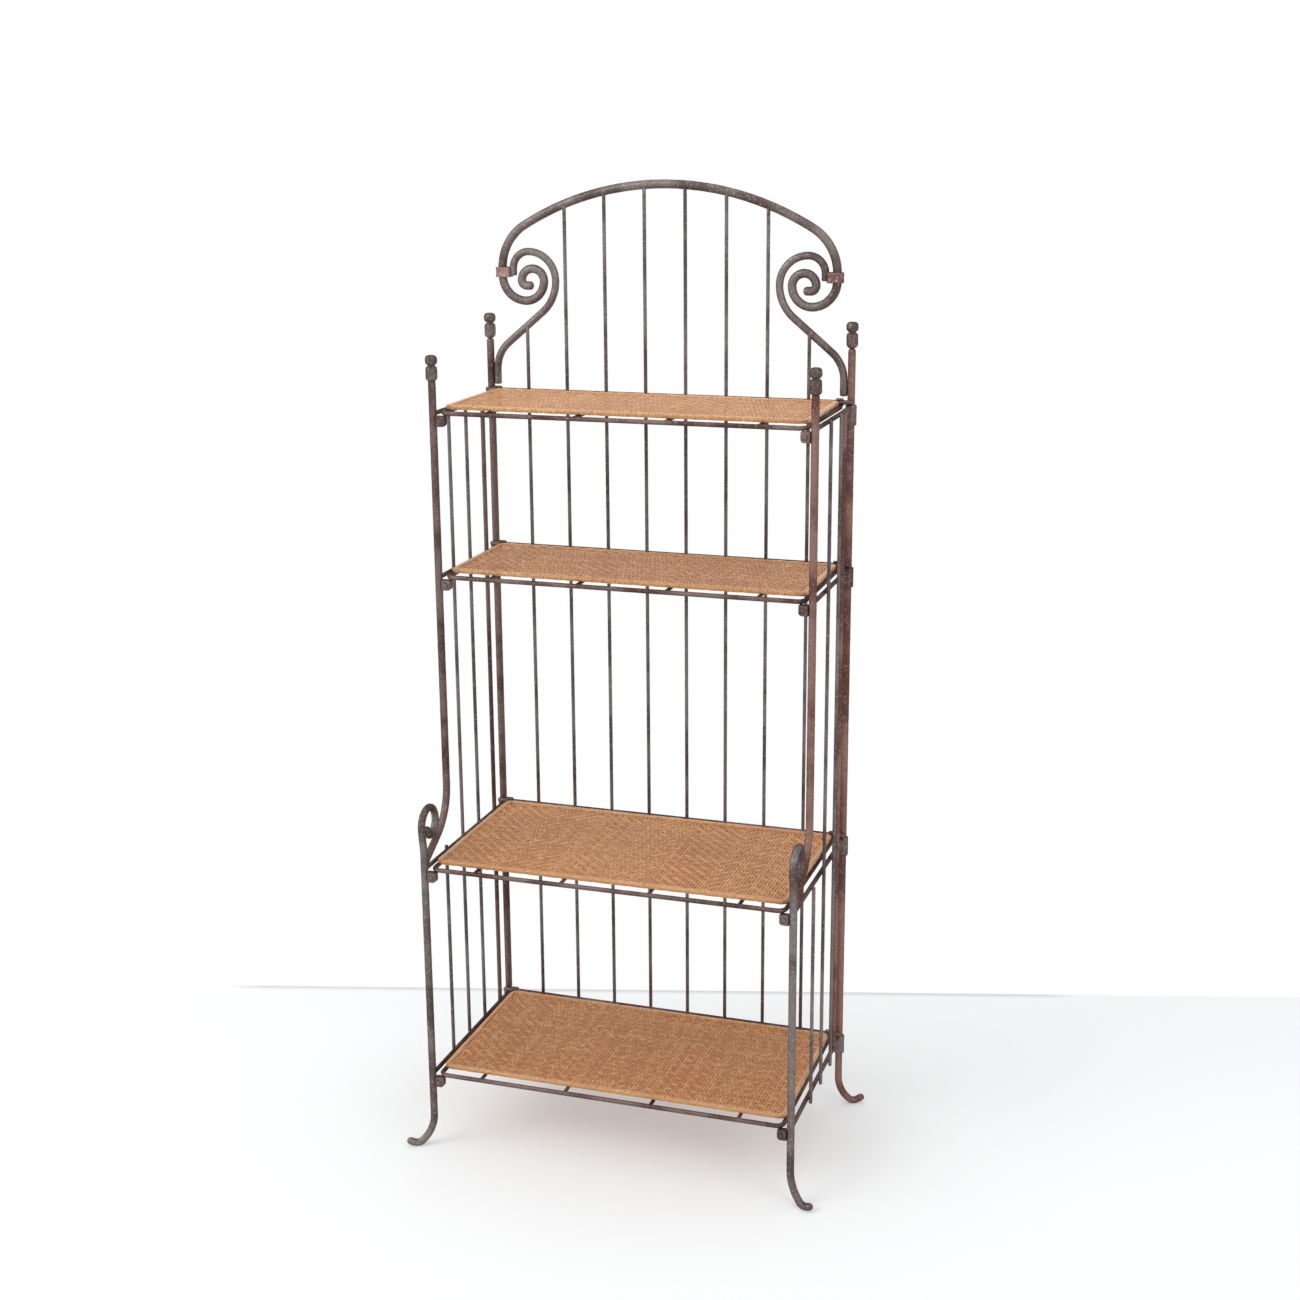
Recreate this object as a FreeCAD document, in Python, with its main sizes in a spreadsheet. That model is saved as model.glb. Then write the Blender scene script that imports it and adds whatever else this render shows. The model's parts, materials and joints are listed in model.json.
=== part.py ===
"""Bakers rack: a folding wrought-metal rack with four hinged woven shelves.

Frame of the model, in millimetres: +Z up, the rack faces -Y, and the origin lies on
the floor under the middle of the rack. Two round rear posts stand at the back. A side
panel turns about each of them, and each shelf turns about its own back rail.
"""
import FreeCAD, Part
import math
import os

import Sketcher
from FreeCAD import Placement, Rotation, Vector

doc = FreeCAD.newDocument("bakers_rack")
sheet = doc.addObject("Spreadsheet::Sheet", "sizes")

# %% Driving dimensions: alias, value, meaning
DRIVING_SIZES = (
    ("post_spacing", "648", "left to right, between the centres of the rear posts"),
    ("lower_depth", "354", "front to back, rear post centre to front leg centre"),
    ("upper_depth", "252", "front to back, rear post centre to upper front post centre"),
    ("level_1", "1287", "top shelf: height of its rod centres"),
    ("level_2", "1009.5", "second shelf"),
    ("level_3", "521", "third shelf"),
    ("level_4", "137", "bottom shelf"),
    ("post_dia", "13", "posts and legs"),
    ("arch_dia", "15", "arch bar"),
    ("stem_dia", "13", "scroll stems under the arch"),
    ("rod_dia", "8", "rails, stiles and shelf rods"),
    ("spindle_dia", "6.4", "back and side spindles"),
    ("cross_bar_dia", "6.4", "bars that carry the woven panels"),
    ("rear_post_rise", "97.5", "top of the rear posts, above the top shelf"),
    ("front_post_rise", "52.5", "top of the front posts, above the top shelf"),
    ("taper_height", "4", "finial: cone on the post"),
    ("barrel_dia", "20", "finial: barrel"),
    ("barrel_height", "20", "finial: barrel"),
    ("neck_dia", "12", "finial: neck under the ball"),
    ("neck_height", "3", "finial: neck under the ball"),
    ("ball_dia", "21", "finial: ball, across"),
    ("ball_height", "16", "finial: ball, from neck to top"),
    ("arch_radius", "500", "arch: middle stretch"),
    ("shoulder_radius", "85", "arch: shoulders"),
    ("arch_inset", "27", "arch: rear post centre to the upright end"),
    ("arch_drop", "12.5", "arch: upright stretch held by the collar"),
    ("volute_radius_1", "42.5", "arch scroll: first quarter turn"),
    ("volute_radius_2", "34", "arch scroll: second quarter turn"),
    ("volute_radius_3", "21", "arch scroll: third quarter turn"),
    ("volute_radius_4", "20", "arch scroll: fourth quarter turn"),
    ("volute_radius_5", "9", "arch scroll: last quarter turn"),
    ("volute_tail", "12", "arch scroll: straight end"),
    ("stem_upright", "26", "scroll stem: straight foot beside the post"),
    ("stem_lower_radius", "60", "scroll stem: bend away from the post"),
    ("stem_upper_radius", "70", "scroll stem: bend back to upright"),
    ("stem_lean", "50", "scroll stem: lean of its middle, degrees"),
    ("stem_clearance", "9.3", "scroll stem: from its crown to the nearest long spindle"),
    ("stem_crown_radius", "49", "scroll stem: first half of the crown"),
    ("stem_tail", "12", "scroll stem: straight end beside the collar"),
    ("stem_gap", "6", "between the stem's end and the arch bar"),
    ("stem_end_rise", "2.74", "scroll stem: its end above the collar's lower edge"),
    ("stem_foot_gap", "1", "scroll stem: height over the top shelf's hinge eye"),
    ("collar_height", "17", "collar that ties stem and arch"),
    ("collar_wall", "2.6", "collar that ties stem and arch"),
    ("collar_lap", "3", "collar: how far it reaches over the stem's side"),
    ("collar_play", "0.1", "collar round the arch bar"),
    ("collar_corner", "3", "collar: outer corners, cut off"),
    ("rail_overhang", "6", "back rail past the post centre"),
    ("back_bays", "9", "equal bays between the rear posts, a spindle between each two"),
    ("spindle_drop", "3", "spindle ends below the lowest rail"),
    ("side_rail_drop", "1.2", "side rails below the shelf rods"),
    ("stile_setback", "45", "rear post centre to side stile centre"),
    ("side_first", "102", "rear post centre to the first side spindle"),
    ("side_pitch", "72", "between side spindles"),
    ("knuckle_wall", "3", "wall of the sleeves that turn on the rear posts"),
    ("knuckle_height", "34", "sleeves that turn on the rear posts"),
    ("meeting_rise", "8.149", "front post: where it meets the leg, above the third shelf"),
    ("front_bend_radius", "90", "front post: bend toward the leg"),
    ("front_bend_turn", "60", "front post: bend toward the leg, degrees"),
    ("sway_rise", "24", "front leg: where it leaves the vertical, above the third shelf"),
    ("sway_radius", "120", "front leg: gentle sway under the scroll"),
    ("sway_turn", "12", "front leg: gentle sway under the scroll, degrees"),
    ("leg_scroll_radius", "28", "front leg: scroll, over the top"),
    ("leg_curl_radius", "22.5", "front leg: scroll, going in"),
    ("leg_core_radius", "12", "front leg: scroll, last quarter turn"),
    ("leg_tail", "7", "front leg: straight end of the scroll"),
    ("foot_splay", "29", "feet: angle out of the side to side line, degrees"),
    ("foot_radius", "65", "feet: sweep out of the vertical"),
    ("foot_turn", "48", "feet: sweep out of the vertical, degrees"),
    ("toe_radius", "14", "feet: heel on the floor"),
    ("toe_rise", "22", "feet: rise of the toe, degrees"),
    ("toe_length", "14", "feet: straight toe"),
    ("foot_flat", "0.8", "feet: depth filed flat under the heel"),
    ("shelf_inset", "15", "post centre to shelf side rod centre"),
    ("shelf_corner_radius", "13", "shelf frame: front corners"),
    ("rear_rod_setback", "22", "shelf: hinge axis to rear rod centre"),
    ("cross_bar_pitch", "155", "shelf: between the bars under the panel"),
    ("eye_width", "14", "shelf hinge eyes, along the rail"),
    ("eye_wall", "4", "shelf hinge eyes"),
    ("eye_clearance", "0.7", "shelf hinge eyes: end of the roll, above the binding"),
    ("panel_lap", "1", "woven panel past the side rod centre"),
    ("panel_rear_gap", "5.5", "hinge axis to the panel's rear edge"),
    ("panel_front_gap", "15", "front rod centre to the panel's front edge"),
    ("panel_thickness", "6.5", "woven panel"),
    ("binding_width", "9", "binding round the woven panel"),
    ("binding_thickness", "8", "binding round the woven panel"),
    ("binding_corner", "6", "binding: outer corners, cut off"),
    ("rest_length", "16", "shelf rests: out from the post"),
    ("rest_width", "13", "shelf rests: front to back"),
    ("rest_height", "18", "shelf rests"),
    ("bolt_dia", "9", "bolt heads on the rests"),
    ("bolt_height", "3.5", "bolt heads on the rests"),
    ("hinge_play", "0.08", "radial clearance of everything that turns"),
    ("seat_gap", "0.3", "clearance where one moving body rests on another"),
)
for row, (alias, value, meaning) in enumerate(DRIVING_SIZES, start=1):
    sheet.set(f"A{row}", meaning)
    sheet.set(f"B{row}", value)
    sheet.setAlias(f"B{row}", alias)
doc.recompute()


# %% Sizes as expressions
class Size:
    """A number together with the sheet expression that keeps it up to date."""

    def __init__(self, number, text):
        self.number = number
        self.text = text

    def __add__(self, other):
        return combine(self, "+", other)

    def __radd__(self, other):
        return combine(other, "+", self)

    def __sub__(self, other):
        return combine(self, "-", other)

    def __rsub__(self, other):
        return combine(other, "-", self)

    def __mul__(self, other):
        return combine(self, "*", other)

    def __rmul__(self, other):
        return combine(other, "*", self)

    def __truediv__(self, other):
        return combine(self, "/", other)

    def __neg__(self):
        return combine(0, "-", self)


def as_size(value):
    if isinstance(value, Size):
        return value
    return Size(float(value), str(value))


def combine(first, sign, second):
    first = as_size(first)
    second = as_size(second)
    if sign == "+":
        number = first.number + second.number
    elif sign == "-":
        number = first.number - second.number
    elif sign == "*":
        number = first.number * second.number
    else:
        number = first.number / second.number
    return Size(number, f"({first.text} {sign} {second.text})")


def sine(angle):
    return Size(math.sin(math.radians(angle.number)), f"sin({angle.text})")


def cosine(angle):
    return Size(math.cos(math.radians(angle.number)), f"cos({angle.text})")


def arc_sine(ratio):
    return Size(math.degrees(math.asin(ratio.number)), f"(asin({ratio.text}) / 1deg)")


def root(square):
    return Size(math.sqrt(square.number), f"sqrt({square.text})")


def size(alias):
    return Size(float(sheet.get(alias)), f"sizes.{alias}")


def bind(thing, prop, value):
    """Ties one property to its expression."""
    thing.setExpression(prop, as_size(value).text)


def place(thing, x=0, y=0, z=0, turn=Rotation()):
    """Puts a piece at x, y, z, each of them bound to the sheet."""
    here = [as_size(value) for value in (x, y, z)]
    thing.Placement = Placement(Vector(*[value.number for value in here]), turn)
    for axis, value in zip("xyz", here):
        thing.setExpression(f"Placement.Base.{axis}", value.text)


# %% Shared geometry, worked out from the driving dimensions
UP = Rotation()
TO_RIGHT = Rotation(Vector(0, 1, 0), 90)
TO_FRONT = Rotation(Vector(1, 0, 0), 90)
BAR_SIDES = 8
SCROLL_SIDES = 6
ROD_SIDES = 4
BOLT_SIDES = 6
CROSS_BARS = 4
HALF_SIDE_TURN = 180 / BAR_SIDES
CORNER_REACH = 1 / math.cos(math.radians(HALF_SIDE_TURN))
SCROLL_REACH = 2 / math.sqrt(3)
DIAGONAL_SHARE = 0.34
CUT_ALLOWANCE = 1
SIDES = (("left", -1), ("right", 1))
LEVELS = (1, 2, 3, 4)
UPPER_LEVELS = (1, 2)
WIDE_BAYS = 2.5

post_x = size("post_spacing") / 2
post_radius = size("post_dia") / 2
rod_radius = size("rod_dia") / 2
spindle_radius = size("spindle_dia") / 2
rear_y = size("lower_depth") / 2
leg_y = -rear_y
front_post_y = rear_y - size("upper_depth")
level = {number: size(f"level_{number}") for number in LEVELS}

bore_radius = rod_radius + size("hinge_play")
hinge_rise = bore_radius + rod_radius
hinge_y = rear_y - post_radius - rod_radius
hinge_height = {number: level[number] + hinge_rise for number in LEVELS}
side_rail_height = {number: level[number] - size("side_rail_drop") for number in LEVELS}
spindle_y = hinge_y + rod_radius + spindle_radius
shelf_rod_x = post_x - size("shelf_inset")

rear_post_top = level[1] + size("rear_post_rise")
front_post_top = level[1] + size("front_post_rise")

bay = size("post_spacing") / size("back_bays")
arch_half_width = post_x - size("arch_inset")
arch_core_radius = size("arch_radius") - size("shoulder_radius")
arch_turn = arc_sine((arch_half_width - size("shoulder_radius")) / arch_core_radius)

stem_radius = size("stem_dia") / 2
stem_foot_x = post_x - post_radius - stem_radius
stem_foot_height = (
    hinge_height[1] + bore_radius + size("eye_wall") + size("stem_foot_gap")
)
stem_tip_x = arch_half_width - size("arch_dia") / 2 - size("stem_gap") - stem_radius
stem_crown_side = bay * WIDE_BAYS + spindle_radius + size("stem_clearance") + stem_radius
stem_reach = stem_foot_x - stem_crown_side
stem_tip_radius = stem_tip_x - stem_crown_side - size("stem_crown_radius")
stem_bends = size("stem_lower_radius") + size("stem_upper_radius")
stem_run = (stem_reach - stem_bends * (1 - cosine(size("stem_lean")))) / sine(size("stem_lean"))
stem_end_height = (
    stem_foot_height
    + size("stem_upright")
    + stem_bends * sine(size("stem_lean"))
    + stem_run * cosine(size("stem_lean"))
    + size("stem_crown_radius")
    - stem_tip_radius
    - size("stem_tail")
)

collar_base = stem_end_height - size("stem_end_rise")
arch_spring_height = collar_base + (size("collar_height") + size("arch_drop")) / 2
arch_centre_height = arch_spring_height - cosine(arch_turn) * arch_core_radius
arch_top = arch_centre_height + size("arch_radius")

foot_lift = post_radius - size("foot_flat")
heel_turn = 90 - size("foot_turn")
foot_height = (
    foot_lift
    + size("foot_radius") * sine(size("foot_turn"))
    + size("toe_radius") * (1 - cosine(heel_turn))
)

# %% Building blocks
nodes = []


def part(kind, name, **bound):
    """Adds a Part object and ties the given properties to the sheet."""
    thing = doc.addObject(f"Part::{kind}", name)
    for prop, value in bound.items():
        bind(thing, prop, value)
    return thing


def straight_bar(name, thickness, length, x, y, z, turn=UP):
    """An eight-sided bar, given across its flats, with flats up, down and sideways."""
    bar = part("Prism", name, Circumradius=thickness / 2 * CORNER_REACH, Height=length)
    bar.Polygon = BAR_SIDES
    place(bar, x, y, z, turn * Rotation(Vector(0, 0, 1), HALF_SIDE_TURN))
    return bar


def round_bar(name, radius, length, x, y, z, turn=UP):
    bar = part("Cylinder", name, Radius=radius, Height=length)
    place(bar, x, y, z, turn)
    return bar


def group(name, pieces):
    """Separate solids that share one node."""
    compound = doc.addObject("Part::Compound", name)
    compound.Links = pieces
    return compound


def cut(name, base, tool):
    result = doc.addObject("Part::Cut", name)
    result.Base = base
    result.Tool = tool
    return result


def fuse(name, pieces):
    result = doc.addObject("Part::MultiFuse", name)
    result.Shapes = pieces
    return result


def node(name, thing):
    """Names a finished sub-part: its label is its file's name."""
    thing.Label = name
    nodes.append(thing)
    return thing


def plane(body, role):
    return [feature for feature in body.Origin.OriginFeatures if feature.Role == role][0]


def new_sketch(body, name, role):
    sketch = body.newObject("Sketcher::SketchObject", name)
    sketch.AttachmentSupport = (plane(body, role), "")
    sketch.MapMode = "FlatFace"
    return sketch


def constrain(sketch, value, *details):
    """Adds a dimension to a sketch and ties it to the sheet."""
    number = math.radians(value.number) if details[0] == "Angle" else value.number
    index = sketch.addConstraint(Sketcher.Constraint(*details, number))
    sketch.setExpression(f"Constraints[{index}]", value.text)


def run(length):
    return ("run", as_size(length), None, 0)


def bend(radius, turn, side):
    """A bend of the given degrees: side 1 turns anticlockwise, -1 clockwise."""
    return ("bend", as_size(radius), as_size(turn), side)


def path_geometry(steps, heading):
    """The lines and arcs of a path that starts at the sketch's origin."""
    x = 0.0
    y = 0.0
    course = math.radians(heading)
    pieces = []
    for kind, length, turn, side in steps:
        start = Vector(x, y, 0)
        if kind == "run":
            x += length.number * math.cos(course)
            y += length.number * math.sin(course)
            pieces.append(Part.LineSegment(start, Vector(x, y, 0)))
            continue
        radius = length.number
        centre = start + Vector(-math.sin(course), math.cos(course), 0) * (side * radius)
        first = course - side * math.pi / 2
        last = first + side * math.radians(turn.number)
        circle = Part.Circle(centre, Vector(0, 0, 1), radius)
        pieces.append(Part.ArcOfCircle(circle, min(first, last), max(first, last)))
        x = centre.x + radius * math.cos(last)
        y = centre.y + radius * math.sin(last)
        course += side * math.radians(turn.number)
    return pieces


def draw_path(sketch, steps, heading):
    """Draws the path and constrains it fully, each size tied to the sheet."""
    sketch.addGeometry(path_geometry(steps, heading), False)
    ends = [(2, 1) if side < 0 else (1, 2) for kind, length, turn, side in steps]
    sketch.addConstraint(Sketcher.Constraint("Coincident", 0, ends[0][0], -1, 1))
    upright = heading % 180 == 90
    if steps[0][0] == "run":
        sketch.addConstraint(Sketcher.Constraint("Vertical" if upright else "Horizontal", 0))
    else:
        sketch.addConstraint(Sketcher.Constraint("PointOnObject", 0, 3, -1 if upright else -2))
    for index in range(len(steps) - 1):
        joint = (index, ends[index][1], index + 1, ends[index + 1][0])
        sketch.addConstraint(Sketcher.Constraint("Tangent", *joint))
    for index, (kind, length, turn, side) in enumerate(steps):
        if kind == "run":
            constrain(sketch, length, "Distance", index)
        else:
            constrain(sketch, length, "Radius", index)
            constrain(sketch, turn, "Angle", index)


def hold_point(sketch, index, x, y):
    """Ties the start of one line to its place, measured from the sketch's origin."""
    for kind, value, axis in (("DistanceX", as_size(x), -2), ("DistanceY", as_size(y), -1)):
        if value.number > 0:
            constrain(sketch, value, kind, -1, 1, index, 1)
        elif value.number < 0:
            constrain(sketch, -value, kind, index, 1, -1, 1)
        else:
            sketch.addConstraint(Sketcher.Constraint("PointOnObject", index, 1, axis))


def draw_outline(sketch, corners):
    """A closed outline of straight lines through the given corners."""
    points = [Vector(as_size(x).number, as_size(y).number, 0) for x, y in corners]
    following = points[1:] + points[:1]
    lines = [Part.LineSegment(one, two) for one, two in zip(points, following)]
    sketch.addGeometry(lines, False)
    for index, (x, y) in enumerate(corners):
        after = (index + 1) % len(corners)
        sketch.addConstraint(Sketcher.Constraint("Coincident", index, 2, after, 1))
        hold_point(sketch, index, x, y)


def draw_bar_section(sketch, thickness, sides, bends_along_x):
    """The section of a bent bar, with its flats inside and outside each bend."""
    flat = thickness / 2
    if sides == ROD_SIDES:
        draw_outline(sketch, [(-flat, -flat), (flat, -flat), (flat, flat), (-flat, flat)])
        return
    if sides == SCROLL_SIDES:
        tip = flat * SCROLL_REACH
        near = tip / 2
        corners = [(-near, -flat), (near, -flat), (tip, 0), (near, flat), (-near, flat), (-tip, 0)]
        if bends_along_x:
            corners = [(-y, x) for x, y in corners]
        draw_outline(sketch, corners)
        return
    half_flat = flat - thickness * (DIAGONAL_SHARE / math.sqrt(2))
    near = (-half_flat, half_flat)
    corners = [(x, -flat) for x in near] + [(flat, y) for y in near]
    corners += [(-x, flat) for x in near] + [(-flat, -y) for y in near]
    draw_outline(sketch, corners)


def bent_bar(
    name, thickness, steps, heading, path_plane, section_plane, sides=BAR_SIDES, mirror=False
):
    """A four-, six- or eight-sided bar swept along runs and tangent bends."""
    body = doc.addObject("PartDesign::Body", name)
    path = new_sketch(body, f"{name}_path", path_plane)
    draw_path(path, steps, heading)
    section = new_sketch(body, f"{name}_section", section_plane)
    bends_along_x = (path_plane, section_plane) == ("XZ_Plane", "XY_Plane")
    draw_bar_section(section, thickness, sides, bends_along_x)
    pipe = body.newObject("PartDesign::AdditivePipe", f"{name}_pipe")
    pipe.Profile = section
    pipe.Spine = (path, [])
    if mirror:
        doc.recompute()
        mirrored = body.newObject("PartDesign::Mirrored", f"{name}_mirror")
        mirrored.Originals = [pipe]
        mirrored.MirrorPlane = (plane(body, "YZ_Plane"), [""])
        body.Tip = mirrored
    return body


def eased_slab(name, half_width, depth, thickness, easing, x, y, z):
    """A flat slab with its upright corners cut off, its front edge's middle at x, y, z."""
    body = doc.addObject("PartDesign::Body", name)
    sketch = new_sketch(body, f"{name}_outline", "XY_Plane")
    left = -half_width
    draw_outline(sketch, [(left, 0), (half_width, 0), (half_width, depth), (left, depth)])
    pad = body.newObject("PartDesign::Pad", f"{name}_pad")
    pad.Profile = sketch
    bind(pad, "Length", thickness)
    doc.recompute()
    uprights = []
    for index, edge in enumerate(pad.Shape.Edges, start=1):
        first, last = edge.Vertexes
        if abs(first.Z - last.Z) > 0.5 * thickness.number:
            uprights.append(f"Edge{index}")
    corner_cut = body.newObject("PartDesign::Chamfer", f"{name}_corners")
    corner_cut.Base = (pad, uprights)
    bind(corner_cut, "Size", easing)
    body.Tip = corner_cut
    place(body, x, y, z)
    return body


# %% The floor, used to file the feet flat
floor_width = size("post_spacing") * 2
floor_depth = size("foot_radius")
floor_block = part(
    "Box", "floor_block", Length=floor_width, Width=floor_width, Height=floor_depth
)
place(floor_block, -floor_width / 2, -floor_width / 2, -floor_depth)


# %% Feet: one swept foot for each post, turned outward
def foot(name, x, y, azimuth):
    """The end of a post: it sweeps outward, touches the floor and lifts its toe."""
    steps = [
        bend(size("foot_radius"), size("foot_turn"), 1),
        bend(size("toe_radius"), heel_turn + size("toe_rise"), 1),
        run(size("toe_length")),
    ]
    piece = bent_bar(name, size("post_dia"), steps, -90, "XZ_Plane", "XY_Plane")
    place(piece, x, y, foot_height, Rotation(Vector(0, 0, 1), azimuth.number))
    piece.setExpression("Placement.Rotation.Angle", azimuth.text)
    return piece


# %% Rear posts: round, because the side panels turn on them
def rear_post(side, sign):
    azimuth = size("foot_splay") if sign > 0 else 180 - size("foot_splay")
    shaft = round_bar(
        f"rear_shaft_{side}",
        post_radius,
        rear_post_top - foot_height,
        sign * post_x,
        rear_y,
        foot_height,
    )
    toe = foot(f"rear_foot_{side}", sign * post_x, rear_y, azimuth)
    whole = fuse(f"rear_post_rough_{side}", [shaft, toe])
    return node(f"rear_post_{side}", cut(f"rear_post_filed_{side}", whole, floor_block))


# %% Front legs: straight to the third shelf, then a sway and a scroll toward the back
def front_leg(side, sign):
    azimuth = 360 - size("foot_splay") if sign > 0 else 180 + size("foot_splay")
    steps = [
        run(level[3] + size("sway_rise") - foot_height),
        bend(size("sway_radius"), size("sway_turn"), 1),
        bend(size("sway_radius"), size("sway_turn"), -1),
        bend(size("leg_scroll_radius"), 180, -1),
        bend(size("leg_curl_radius"), 90, -1),
        bend(size("leg_core_radius"), 90, -1),
        run(size("leg_tail")),
    ]
    upper = bent_bar(
        f"leg_bar_{side}", size("post_dia"), steps, 90, "YZ_Plane", "XY_Plane", sides=ROD_SIDES
    )
    place(upper, sign * post_x, leg_y, foot_height)
    toe = foot(f"front_foot_{side}", sign * post_x, leg_y, azimuth)
    whole = fuse(f"front_leg_rough_{side}", [upper, toe])
    return node(f"front_leg_{side}", cut(f"front_leg_filed_{side}", whole, floor_block))


# %% Front posts: upright to their bend, then forward and down into the leg
def front_post(side, sign, leg):
    step = size("lower_depth") - size("upper_depth")
    turn = size("front_bend_turn")
    bent_depth = size("front_bend_radius") * (1 - cosine(turn))
    slant = (step - bent_depth) / sine(turn)
    bent_drop = size("front_bend_radius") * sine(turn) + slant * cosine(turn)
    steps = [
        run(front_post_top - level[3] - size("meeting_rise") - bent_drop),
        bend(size("front_bend_radius"), turn, -1),
        run(slant),
    ]
    bar = bent_bar(f"front_post_bar_{side}", size("post_dia"), steps, -90, "YZ_Plane", "XY_Plane")
    place(bar, sign * post_x, front_post_y, front_post_top)
    return node(f"front_post_{side}", cut(f"front_post_coped_{side}", bar, leg))


# %% Finials: cone, barrel, neck and a flattened ball, eight-sided like the bars
BALL_LATITUDES = (-60, -30, 0, 30, 60, 85)


def faceted_ring(height, reach):
    """The eight corners of one level of a faceted turning."""
    corners = []
    for index in range(BAR_SIDES):
        angle = math.radians(HALF_SIDE_TURN * (2 * index + 1))
        corners.append(Vector(reach * math.cos(angle), reach * math.sin(angle), height))
    return corners


def faceted_turning(stations):
    """A closed solid with flat sides between levels of given height and half width."""
    rings = [faceted_ring(height, reach * CORNER_REACH) for height, reach in stations]
    faces = [Part.Face(Part.makePolygon(ring + ring[:1])) for ring in (rings[0], rings[-1])]
    for lower, upper in zip(rings[:-1], rings[1:]):
        for index in range(BAR_SIDES):
            after = (index + 1) % BAR_SIDES
            corners = [lower[index], lower[after], upper[after], upper[index], lower[index]]
            faces.append(Part.Face(Part.makePolygon(corners)))
    return Part.Solid(Part.Shell(faces))


def finial(name, x, y, z):
    ball_round = size("ball_height").number / 2
    ball_axis = size("ball_dia").number / 2 - ball_round
    barrel_top = size("taper_height").number + size("barrel_height").number
    neck_top = barrel_top + size("neck_height").number
    barrel_reach = size("barrel_dia").number / 2
    neck_reach = size("neck_dia").number / 2
    stations = [
        (0, post_radius.number),
        (size("taper_height").number, barrel_reach),
        (barrel_top, barrel_reach),
        (barrel_top + size("neck_height").number / 2, neck_reach),
    ]
    for latitude in BALL_LATITUDES:
        angle = math.radians(latitude)
        height = neck_top + ball_round * (1 + math.sin(angle))
        stations.append((height, ball_axis + ball_round * math.cos(angle)))
    body = doc.addObject("Part::Feature", name)
    body.Shape = faceted_turning(stations)
    place(body, x, y, z)
    return body


# %% Arch: one bar from scroll to scroll
def arch():
    steps = [
        bend(size("arch_radius"), arch_turn, -1),
        bend(size("shoulder_radius"), 90 - arch_turn, -1),
        run(size("arch_drop")),
        bend(size("volute_radius_1"), 90, -1),
        bend(size("volute_radius_2"), 90, -1),
        bend(size("volute_radius_3"), 90, -1),
        bend(size("volute_radius_4"), 90, -1),
        bend(size("volute_radius_5"), 90, -1),
        run(size("volute_tail")),
    ]
    bar = bent_bar(
        "arch",
        size("arch_dia"),
        steps,
        0,
        "XZ_Plane",
        "YZ_Plane",
        sides=SCROLL_SIDES,
        mirror=True,
    )
    place(bar, 0, rear_y, arch_top)
    return node("arch_bar", bar)


# %% Scroll stems: from the posts up to the collars on the arch
def scroll_stem(side, sign):
    steps = [
        run(size("stem_upright")),
        bend(size("stem_lower_radius"), size("stem_lean"), sign),
        run(stem_run),
        bend(size("stem_upper_radius"), size("stem_lean"), -sign),
        bend(size("stem_crown_radius"), 90, -sign),
        bend(stem_tip_radius, 90, -sign),
        run(size("stem_tail")),
    ]
    bar = bent_bar(
        f"stem_{side}", size("stem_dia"), steps, 90, "XZ_Plane", "XY_Plane", sides=SCROLL_SIDES
    )
    place(bar, sign * stem_foot_x, rear_y, stem_foot_height)
    return bar


# %% Collars: bands round the arch bar that reach over the stem's end
collar_play = size("collar_play")


def scroll_collar(side, sign, stem):
    """A band with eased corners round the arch bar, coped where it laps the stem."""
    arch_reach = size("arch_dia") / 2
    inner_end = stem_tip_x + stem_radius - size("collar_lap")
    outer_end = arch_half_width + arch_reach + collar_play + size("collar_wall")
    half_width = arch_reach * SCROLL_REACH + collar_play
    outer = eased_slab(
        f"collar_band_{side}",
        (outer_end - inner_end) / 2,
        (half_width + size("collar_wall")) * 2,
        size("collar_height"),
        size("collar_corner"),
        sign * (inner_end + outer_end) / 2,
        rear_y - half_width - size("collar_wall"),
        collar_base,
    )
    opening_half = arch_reach + collar_play
    opening = part(
        "Box",
        f"collar_opening_{side}",
        Length=opening_half * 2,
        Width=half_width * 2,
        Height=size("collar_height") + CUT_ALLOWANCE * 2,
    )
    opening_x = sign * arch_half_width - opening_half
    place(opening, opening_x, rear_y - half_width, collar_base - CUT_ALLOWANCE)
    band = cut(f"collar_hollow_{side}", outer, opening)
    return cut(f"collar_{side}", band, stem)


# %% Back spindles: pairs behind the back rails, coped under the arch and the stems
def back_spindles(name, bays, top, tool):
    pair = []
    base = hinge_height[4] - rod_radius - size("spindle_drop")
    for side, sign in SIDES:
        x = sign * bays * bay
        bar = straight_bar(f"{name}_{side}", size("spindle_dia"), top - base, x, spindle_y, base)
        pair.append(bar)
    return node(name, cut(f"{name}_coped", group(f"{name}_pair", pair), tool))


def arch_height_at(x):
    return arch_centre_height + root(size("arch_radius") * size("arch_radius") - x * x)


def stem_height_at(x):
    """Height of the stem's leaning middle at a distance x from the rack's middle."""
    lean = size("stem_lean")
    bent_in = size("stem_lower_radius") * (1 - cosine(lean))
    bent_up = size("stem_lower_radius") * sine(lean)
    start = stem_foot_height + size("stem_upright") + bent_up
    return start + (stem_foot_x - bent_in - x) * cosine(lean) / sine(lean)


# %% Back rails: round, because the shelves turn on them
def back_rail(number):
    reach = post_x + size("rail_overhang")
    rail = round_bar(
        f"rail_{number}", rod_radius, reach * 2, -reach, hinge_y, hinge_height[number], TO_RIGHT
    )
    return node(f"back_rail_{number}", rail)


# %% Side panels
def knuckle_base(number):
    return side_rail_height[number] + rod_radius - size("knuckle_height")


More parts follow.
